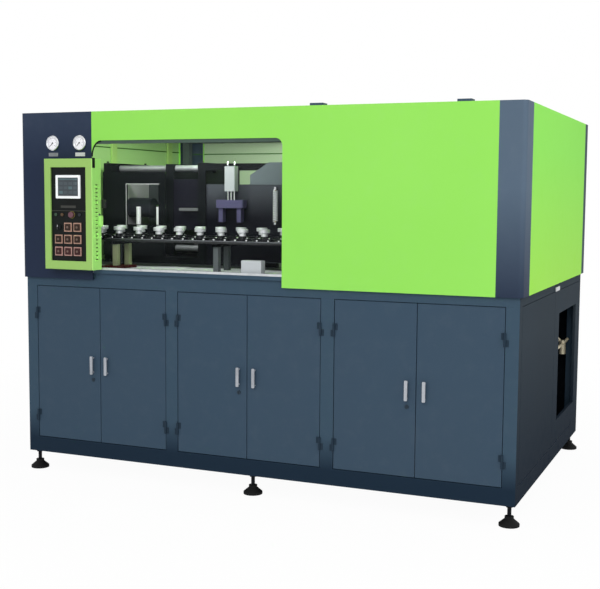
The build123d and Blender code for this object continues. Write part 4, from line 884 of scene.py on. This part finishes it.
guard_low, guard_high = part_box("guard_door")
front_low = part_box("front_skin")[0]
pod_low, pod_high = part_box("pod_housing")
window_left = front_low.x
window_top = guard_high.z - 14 * MM
bar(
    "guard_top_rail",
    (guard_low.x, guard_low.y - 3.5 * MM, window_top - 18 * MM),
    (guard_high.x, guard_high.y + 2 * MM, window_top + 5 * MM),
    rail_slate,
    "black_plastic",
    "guard_slider",
    1.0,
)

frame_low, frame_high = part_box("upper_frame")
wall_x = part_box("side_skins")[0].x + 2 * MM
wall_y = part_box("rear_skins")[1].y - 2 * MM
side_seam_z = 1.848
rear_seam_z = 1.840
seam_front = frame_low.y + 100 * MM
seam_width = 7 * MM
seam = Piece("hood_seam")
seam.block(
    (wall_x, seam_front, side_seam_z),
    (wall_x + 2 * MM, wall_y, side_seam_z + seam_width),
    seam_green,
)
seam.block(
    (wall_x, wall_y - 2 * MM, rear_seam_z), (-wall_x, wall_y, rear_seam_z + seam_width), seam_green
)
seam.done(slot="green_paint")
stiffeners = Piece("hood_stiffeners")
for y in (0.04, 0.74):
    stiffeners.block(
        (wall_x, y - 30 * MM, table_high.z),
        (frame_low.x + 1.5 * MM, y + 30 * MM, frame_high.z - 60 * MM),
        pale_green,
    )
stiffeners.done(slot="green_paint", edge=3.0)

arch_width = 60 * MM
arch_rise = 85 * MM


def arch_points(inset, count=14):
    """Points so far inside the window's top left arch, from its foot to its crown."""
    points = []
    for step in range(count + 1):
        angle = pi - step * pi / 2 / count
        across = window_left + arch_width + (arch_width - inset) * cos(angle)
        points.append((across, window_top - arch_rise + (arch_rise - inset) * sin(angle)))
    return points


edging = Piece("window_edging")
edging_outline = arch_points(-0.5 * MM) + arch_points(6 * MM)[::-1]
edging.prism(edging_outline, (0, front_low.y + 4 * MM, 0), RIGHT, UP, 6 * MM, black_rubber)
edging.block(
    (pod_high.x - 0.5 * MM, pod_high.y - 82 * MM, pod_high.z - 50 * MM),
    (pod_high.x + 4 * MM, pod_high.y - 60 * MM, pod_high.z + 4 * MM),
    black_rubber,
)
edging.done(slot="black_rubber", edge=0.8)

# Control pod: housing, fascia, screen, buttons, and the fittings on its right side


def on_pod_side(middle, normal):
    return normal.x > 0.5 and middle.x > pod_high.x - 5 * MM


def fascia_finish(low, high):
    if high.x - low.x > 0.1:
        return fascia_black
    if high.x < -1.1:
        return lamp_green
    return lamp_amber if high.x < -1.0 else dark_steel


# The pod's right-facing faces take the pale green with painted light.
dress("pod_housing", pale_green, "green_paint", 0.5, on_pod_side, pod_side_painted_light)
dress("pod_fascia", fascia_finish, "black_plastic", 0.4)

screen_low, screen_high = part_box("touchscreen")
screen_rim = 13.5 * MM
display_y = screen_low.y + 2.5 * MM
display_left = screen_low.x + screen_rim
display_foot = screen_low.z + screen_rim
display_width = screen_high.x - screen_low.x - 2 * screen_rim
display_height = screen_high.z - screen_low.z - 2 * screen_rim
display = Piece("screen_display")


def tile(column, row, width, height, finish, low_y=display_y - 0.15 * MM, high_y=display_y):
    """A patch on the display, placed and sized by shares of it."""
    display.block(
        (display_left + column * display_width, low_y, display_foot + row * display_height),
        (
            display_left + (column + width) * display_width,
            high_y,
            display_foot + (row + height) * display_height,
        ),
        finish,
    )


tile(0, 0, 1, 1, display_grey, display_y, display_y + 0.8 * MM)
tile(0.04, 0.87, 0.92, 0.08, tile_teal)
for row in range(3):
    for column in range(4):
        accent = tile_teal if (row + 2 * column) % 5 == 0 else tile_grey
        tile(0.05 + column * 0.235, 0.12 + row * 0.24, 0.19, 0.16, accent)
display.done(slot="grey_plastic")

for number in range(1, 9):
    name = f"push_button_{number}"
    dress(name, by_start(Z, low_row_z, olive, maroon), "amber_plastic", 0.6)
    low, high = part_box(name)
    mark = Piece(f"button_mark_{number}")
    mark_foot = ((low.x + high.x) / 2, low.y + 0.05 * MM, (low.z + high.z) / 2)
    mark.turned(mark_foot, FRONT, [(6.5, 0), (6.5, 0.25)], button_mark, 24)
    mark.done(body_of[name], slot="beige_plastic")

knob_low, knob_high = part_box("selector_knob")
knob_middle = (knob_low + knob_high) / 2
bar(
    "knob_pointer",
    (knob_middle.x - 1.2 * MM, knob_low.y - 0.2 * MM, knob_middle.z + 2 * MM),
    (knob_middle.x + 1.2 * MM, knob_low.y + 0.3 * MM, knob_high.z - 1 * MM),
    white_mark,
    "white_plastic",
    "selector",
)

stop_low, stop_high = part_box("emergency_stop")
stop_middle = (stop_low + stop_high) / 2
fascia_low, fascia_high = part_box("pod_fascia")
fascia_y = fascia_high.y - 4 * MM
bore = (stop_high.x - stop_low.x) / 2 / MM + 0.6
collar = Piece("stop_collar")
collar.turned(
    (stop_middle.x, fascia_y, stop_middle.z),
    FRONT,
    [(bore, 0), (19.5, 0), (19.5, 1.5), (18.4, 2.5), (bore, 2.5), (bore, 0)],
    signal_yellow,
)
collar.done(slot="amber_plastic")

label_z = 1.490
divider_z = 1.468
label_strip = Piece("fascia_label_strip")
label_strip.block(
    (fascia_low.x + 62 * MM, fascia_y - 0.6 * MM, label_z - 6.5 * MM),
    (fascia_low.x + 158 * MM, fascia_y, label_z + 6.5 * MM),
    label_dark,
)
label_strip.block(
    (fascia_low.x + 4 * MM, fascia_y - 0.8 * MM, divider_z - 1.5 * MM),
    (fascia_high.x - 4 * MM, fascia_y, divider_z + 1.5 * MM),
    label_dark,
)
label_strip.done(slot="grey_plastic")

# The louvres are in the pod side's green with painted light.
louvre = Piece("louvre")
louvre.prism(
    [(0, -2.4 * MM), (3.2 * MM, -2.4 * MM), (0, 3.4 * MM)],
    (0, -11 * MM, 0),
    RIGHT,
    UP,
    -22 * MM,
    pod_side_painted_light,
)
louvre_y = pod_low.y + 42 * MM
first_louvre_z = pod_low.z + 48.5 * MM
louvre_places = [
    ((pod_high.x, louvre_y, first_louvre_z + step * 21 * MM), 0.0) for step in range(20)
]
copied("pod_louvres", louvre, louvre_places, slot="green_paint")

latch_y = pod_low.y + 66 * MM
latch_z = 1.447
latch = Piece("pod_latch")
latch.turned(
    (pod_high.x - 0.5 * MM, latch_y, latch_z), RIGHT, [(9, 0), (9, 3), (7, 4)], bright_steel, 28
)
latch.block(
    (pod_high.x + 3 * MM, latch_y - 1.5 * MM, latch_z - 7 * MM),
    (pod_high.x + 4.6 * MM, latch_y + 1.5 * MM, latch_z + 7 * MM),
    black_oxide,
)
latch.done(slot="chrome", edge=0.4)
hinge_z = 1.414
# The hinge cover is in the pod side's green with painted light.
bar(
    "pod_hinge_cover",
    (pod_high.x - 0.5 * MM, pod_high.y - 24 * MM, hinge_z - 29 * MM),
    (pod_high.x + 14 * MM, pod_high.y - 1 * MM, hinge_z + 29 * MM),
    pod_side_painted_light,
    "green_paint",
    edge=2.0,
)

# Pressure gauges: a dial with its ticks and numbers, and a label with two screws under each

panel_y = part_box("front_left_panel")[0].y
case_low, case_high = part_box("gauge_cases")
gauge_z = (case_low.z + case_high.z) / 2
gauge_radius = 41 * MM
number_ring = 19 * MM
dial_start = -135
dial_sweep = 270
last_number = 5
last_tick = 30
dial_y = panel_y - 7 * MM
gauge_label_z = 1.772
tick = Piece("tick")
tick.block((-0.6 * MM, -0.12 * MM, 25 * MM), (0.6 * MM, 0, 31 * MM), black_plastic)
ticks = []
for side, x, label_finish in (
    ("left", case_low.x + gauge_radius, grey_mark),
    ("right", case_high.x - gauge_radius, white_mark),
):
    dial = Piece(f"gauge_dial_{side}")
    dial_ring = [(3, 0), (34, 0), (34, 0.5), (3, 0.5), (3, 0)]
    dial.turned((x, dial_y + 0.3 * MM, gauge_z), FRONT, dial_ring, dial_white)
    for step in range(last_number + 1):
        angle = radians(dial_start + step * dial_sweep / last_number)
        across, rise = number_ring * sin(angle), number_ring * cos(angle)
        place = Vector((x + across, dial_y - 0.25 * MM, gauge_z + rise))
        dial.numbers(str(2 * step), 7.5 * MM, place, black_plastic)
    dial.done(slot="white_plastic")
    for step in range(last_tick + 1):
        angle = radians(dial_start + step * dial_sweep / last_tick)
        ticks.append(((x, dial_y - 0.2 * MM, gauge_z), angle))
    label = Piece(f"gauge_label_{side}")
    label.block(
        (x - 31 * MM, panel_y - 1.2 * MM, gauge_label_z - 10 * MM),
        (x + 31 * MM, panel_y, gauge_label_z + 10 * MM),
        label_finish,
    )
    for screw_x in (x - 27 * MM, x + 27 * MM):
        screw_foot = (screw_x, panel_y - 1.1 * MM, gauge_label_z)
        label.turned(screw_foot, FRONT, [(2, 0), (1.6, 0.6)], zinc, 16)
    label.done(slot="grey_plastic", edge=0.3)
copied("gauge_ticks", tick, ticks, axis=BACK, slot="black_plastic")

# Conveyor: trestles, rails, chain, and the turned mandrels that carry preforms


def conveyor_finish(low, high):
    """Dark rails and beams, and grey legs: those on the left with painted green light, and on the
    right the front ones plain and the rear ones with painted shade.
    """
    if high.x - low.x > 1:
        return rail_dark
    if high.z - low.z < 60 * MM:
        return cast_black
    if low.x < -0.6:
        return leg_grey_painted_green_light
    return leg_grey if low.y < -0.62 else leg_grey_painted_shade


dress("conveyor_frame", conveyor_finish, "grey_paint", 0.6)
rails_low, rails_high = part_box("conveyor_frame")
strip_left, strip_right = -0.948, 0.955
bar(
    "rail_wear_strip",
    (strip_left, rails_low.y + 7 * MM, rails_high.z - 4.5 * MM),
    (strip_right, rails_low.y + 9.2 * MM, rails_high.z + 0.2 * MM),
    rail_steel,
    "bright_steel",
)
plate_front, plate_back = -0.78, -0.60
plate_top = table_high.z + 14 * MM
leg_plates = Piece("leg_base_plates")
for leg_x in (-0.945, -0.865):
    leg_plates.block(
        (leg_x - 30 * MM, plate_front, table_high.z),
        (leg_x + 30 * MM, plate_back, plate_top),
        base_red,
    )
leg_plates.done(slot="dark_steel", edge=1.5)

pitch = 127 * MM
run_pitches = 15
turn_pitches = 3
straight = run_pitches * pitch
turn = turn_pitches * pitch
turn_radius = turn / pi
wheels_low, wheels_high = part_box("star_wheels")
loop_y = (wheels_low.y + wheels_high.y) / 2
loop_x = (wheels_low.x + wheels_high.x) / 2
chain_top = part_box("drive_chain")[1].z
mandrel_foot_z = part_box("mandrels")[0].z


def loop_seat(steps, z):
    """The place and turn of a seat so many pitches along the chain's loop."""
    distance = steps * pitch % (2 * (straight + turn))
    back = distance >= straight + turn
    distance -= (straight + turn) * back
    way = -1 if back else 1
    heading = pi * back
    if distance < straight:
        return (loop_x + way * (distance - straight / 2), loop_y - way * turn_radius, z), heading
    angle = (distance - straight) / turn_radius
    across = straight / 2 + turn_radius * sin(angle)
    place = (loop_x + way * across, loop_y - way * turn_radius * cos(angle), z)
    return place, heading + angle


seat_count = 2 * (run_pitches + turn_pitches)


def seats(offset, z):
    """A seat on every pitch of the loop, so far past a joint of the chain."""
    return [loop_seat(number + offset, z) for number in range(seat_count)]


foot_profile = [(14, 0), (14, 8), (11, 10), (11, 17)]
disc_profile = [
    (11, 17),
    (18, 18),
    (18, 32),
    (14, 33),
    (14, 36),
    (28.5, 36),
    (30, 37.5),
    (30, 44),
    (28.5, 45),
    (28.5, 46.5),
    (30, 47.5),
    (30, 53.5),
    (28.5, 55),
    (12, 55),
    (10, 53),
]
for name, profile, finish in (
    ("mandrel_feet", foot_profile, mandrel_dark),
    ("mandrel_discs", disc_profile, mandrel_metal),
):
    mandrel = Piece("mandrel").turned((0, 0, 0), UP, profile, finish, 28)
    places = seats(0.5, mandrel_foot_z)
    copied(name, mandrel, places, stands_for=["mandrels"], slot="aluminium")
pin = Piece("pin")
roller = Piece("roller")
for side in (-1, 1):
    pin.turned((side * 35 * MM, 0, 0), UP, [(8, 0), (8, 3), (6, 4)], bright_steel, 16)
    roller_foot = (side * 33 * MM, -20 * MM, 0)
    roller.turned(roller_foot, UP, [(7.5, 0), (7.5, 7)], bright_steel, 16)
copied("chain_pins", pin, seats(0, chain_top), slot="bright_steel")
copied("carrier_rollers", roller, seats(0.5, chain_top - 13.5 * MM), slot="bright_steel")

# Clamp unit: plates and covers, and the opening of the front cover


def clamp_finish(low, high):
    """Dark plates, pale pillars and manifold, and grey inside the covers."""
    size = high - low
    if abs(size.x - size.y) < 2 * MM and size.x < 40 * MM:
        return pillar_white
    if size.z < 30 * MM:
        return manifold_grey
    return cover_grey if size.y < 20 * MM and low.y > 0 else cast_black


dress("clamp_frame", clamp_finish, "black_metal", 1.0)
clamp_low, clamp_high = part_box("clamp_frame")
cover_right = clamp_low.x + 0.430
cover_y = clamp_low.y
liner_x = clamp_low.x + 50 * MM
liner_front = -0.24
liner_back = 0.19
liner_foot = 1.2
liner_top = 1.685
liner = Piece("clamp_cover_liner")
liner.block(
    (liner_x, liner_front, liner_foot), (liner_x + 2 * MM, liner_back, liner_top), cover_grey
)
# Its rear sheet takes the leg grey with painted shade.
liner.block(
    (liner_x, liner_back, liner_foot),
    (cover_right - 10 * MM, liner_back + 6 * MM, liner_top),
    leg_grey_painted_shade,
)
liner.done(slot="grey_paint")

opening_left = cover_right - 0.262
opening_right = cover_right - 0.042
opening_foot = 1.380
opening_top = 1.618
lip = 5 * MM
opening = Piece("cover_opening_frame")
for low, high, finish in (
    ((opening_left - lip, opening_top), (opening_right + lip, opening_top + lip), cover_grey),
    ((opening_left - lip, opening_foot - lip), (opening_left, opening_top), cover_grey),
    ((opening_right, opening_foot - lip), (opening_right + lip, opening_top), cast_black),
):
    opening.block((low[0], cover_y - 2 * MM, low[1]), (high[0], cover_y, high[1]), finish)
opening.done(slot="grey_paint")
low_screw_z, high_screw_z = 1.21, 1.35
for name, x in (("left", clamp_low.x + 12 * MM), ("right", cover_right - 20 * MM)):
    start = (x, cover_y - 1.5 * MM, low_screw_z)
    end = (x, cover_y - 1.5 * MM, high_screw_z)
    screw_row(f"cover_screws_{name}", start, end, 3, FRONT, 6, 5, 6, black_oxide)
for name, y in (("front", clamp_low.y + 20 * MM), ("back", clamp_high.y - 20 * MM)):
    start = (clamp_low.x + 25 * MM, y, clamp_high.z + 2 * MM)
    end = (clamp_high.x - 25 * MM, y, clamp_high.z + 2 * MM)
    screw_row(f"plate_bolts_{name}", start, end, 2, UP, 9, 8, 6, black_oxide)

# Transfer gantry and head, with the two guide rods on top of the lift

head_low, head_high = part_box("transfer_head")
rods_foot_z = head_high.z - 110 * MM
guide_foot_z = 1.720


def gantry_finish(low, high):
    """The lift body in white, the back panel in dark violet with painted shade low down, the beam
    and column black.
    """
    if high.y < clamp_low.y + 22 * MM:
        return white_enamel
    return violet_dark if high.y - low.y < 10 * MM else cast_black


def on_lift_rods(middle, normal):
    return middle.z > rods_foot_z


dress("transfer_gantry", gantry_finish, "white_paint", 1.0)
dress("transfer_head", violet, "blue_paint", 0.6, on_lift_rods, bright_steel)
lift_x = (head_low.x + head_high.x) / 2
lift_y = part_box("transfer_gantry")[0].y + 25 * MM
guides = Piece("lift_guide_rods")
for side in (-1, 1):
    rod_foot = (lift_x + side * 22 * MM, lift_y, guide_foot_z)
    guides.turned(rod_foot, UP, [(5, 0), (5, 28), (4, 30)], bright_steel, 18)
guides.done(slot="bright_steel")

# Oven, the skin on its hood plate, and the coiled air hose between its two fittings


def oven_finish(low, high):
    """Quartz lamps, the hood plate in grey on dark violet legs with painted shade low down, pale
    holders and dark walls.
    """
    size = high - low
    if abs(size.y - size.z) < 1 * MM and size.x > 0.4:
        return quartz
    if high.y > -0.4:
        return hood_grey if size.z > 0.2 else violet_dark
    return anodised if size.x < 20 * MM else dark_steel


dress("oven", oven_finish, "dark_steel", 0.8)
hood_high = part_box("oven")[1]
plate_y = hood_high.y - 40 * MM
skin_left = -0.270
skin_foot = 1.182
skin_top = 1.618
# The lower skin takes the dark violet with painted shade low down.
lower_skin = Piece("hood_plate_lower_skin")
lower_skin.block(
    (skin_left, plate_y - 1.5 * MM, skin_foot), (hood_high.x, plate_y, skin_top), violet_dark
)
lower_skin.block(
    (skin_left, plate_y - 4 * MM, skin_top), (hood_high.x, plate_y, skin_top + 5 * MM), hood_grey
)
lower_skin.done(slot="dark_steel")

hose_low, hose_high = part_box("coiled_air_hose")
hose_x = (hose_low.x + hose_high.x) / 2
hose_y = hose_low.y + 15 * MM
hose_thickness = 2.6 * MM
fitting = 14 * MM
hose_values = {
    "Foot": (hose_x, hose_y, hose_low.z + fitting),
    "Height": hose_high.z - hose_low.z - 2 * fitting,
    "Radius": 15 * MM - hose_thickness,
    "Turns": 19.0,
    "Thickness": hose_thickness,
}
stand_in = {"stands_for": ["coiled_air_hose"]}
coil.make("air_hose_coil", hose_values, hose_white, slot="white_plastic", **stand_in)
fittings = Piece("hose_fittings")
half = fitting / 2
for z, way in ((hose_low.z + half, UP), (hose_high.z - half, DOWN)):
    fittings.block(
        (hose_x - half, hose_y - half, z - half), (hose_x + half, hose_high.y, z + half), zinc
    )
    ferrule_foot = (hose_x, hose_y, z + half * way[2])
    fittings.turned(ferrule_foot, way, [(5, 0), (5, 6), (3.6, 8)], brass, 20)
fittings.done(slot="bright_steel", edge=0.5, **stand_in)

# Screws of the rear panels and skins

for node, name, inset in (
    ("rear_base_panels", "rear_base", 12 * MM),
    ("rear_skins", "rear_skin", 25 * MM),
):
    low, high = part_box(node)
    for level, z in (("low", low.z + inset), ("high", high.z - inset)):
        start = (low.x + 30 * MM, high.y + 1 * MM, z)
        end = (high.x - 30 * MM, high.y + 1 * MM, z)
        screw_row(f"{name}_screws_{level}", start, end, 13, BACK)

# Floor, world, lights and camera


def seen_directly(tree):
    """One on rays that show the background: from the camera, and in gloss and glass."""
    node = tree.tree.nodes.new("ShaderNodeLightPath")
    names = ("Is Camera Ray", "Is Glossy Ray", "Is Transmission Ray")
    direct, mirrored, through = (Field(tree, node.outputs[name]) for name in names)
    return direct.at_least(mirrored).at_least(through)


room_light = 0.62
world = bpy.data.worlds.new("studio")
bpy.context.scene.world = world
world.use_nodes = True
sky = Tree(world.node_tree)
sky.tree.nodes.clear()
strength = room_light + seen_directly(sky) * (1 - room_light)
glow = sky.node("ShaderNodeBackground", {"Color": tone("FFFFFF"), "Strength": strength})
sky.node("ShaderNodeOutputWorld", {"Surface": glow})

floor_mesh = bpy.data.meshes.new("studio_floor")
floor_reach = 40
floor_corners = [(-1, -1), (1, -1), (1, 1), (-1, 1)]
floor_mesh.from_pydata(
    [(x * floor_reach, y * floor_reach, 0) for x, y in floor_corners], [], [(0, 1, 2, 3)]
)
ground = Finish("pale studio floor", base_color=tone("F4F4F4"), roughness=0.9)
white = ground.node("ShaderNodeEmission", {"Color": tone("FFFFFF"), "Strength": 1.0})
distance = ground.node("ShaderNodeVectorMath", {0: ground.place}, "Value", operation="LENGTH")
faded = ground.spread(distance, 1.8, 4.5) * 0.04 + 0.96
blend = {0: seen_directly(ground) * faded, 1: ground.shader, 2: white}
shown = ground.node("ShaderNodeMixShader", blend)
ground.feed(ground.output.inputs["Surface"], shown)
floor_mesh.materials.append(ground.material)
floor = new_object("studio_floor", floor_mesh)


def lamp(name, place, aim, size, power):
    """A soft rectangular lamp that looks at a point."""
    light = bpy.data.lights.new(name, "AREA")
    light.shape = "RECTANGLE"
    light.size, light.size_y = size
    light.energy = power
    light.color = (1.0, 1.0, 1.0)
    holder = new_object(name, light)
    holder.location = place
    holder.rotation_euler = (Vector(aim) - Vector(place)).to_track_quat("-Z", "Y").to_euler()


lamp("front_lamp", (1.2, -7.0, 4.2), (0, -0.8, 1.0), (5, 3), 210)
lamp("side_lamp", (6.5, -1.5, 3.8), (1.3, 0, 1.0), (4, 3), 126)
lamp("hood_lamp", (-0.15, -0.20, 1.95), (-0.45, 0.965, 1.80), (1.2, 0.06), 19)
lamp("work_lamp", (-0.75, -0.62, 1.92), (-0.75, 0.0, 1.35), (1.3, 0.2), 7.5)

camera_data = bpy.data.cameras.new("camera")
camera_data.sensor_width = 36
camera_data.lens = 64.66
camera = new_object("camera", camera_data)
camera_place = (2.3819, -5.8276, 1.5615)
yaw, pitch_down, roll = 22.967, -5.272, -0.420
stand = Matrix.Translation(camera_place)
for angle, axis in ((yaw, "Z"), (pitch_down, "X"), (roll, "Y"), (90, "X")):
    stand = stand @ Matrix.Rotation(radians(angle), 4, axis)
camera.matrix_world = stand
bpy.context.scene.camera = camera
bpy.context.scene.view_settings.view_transform = "Standard"
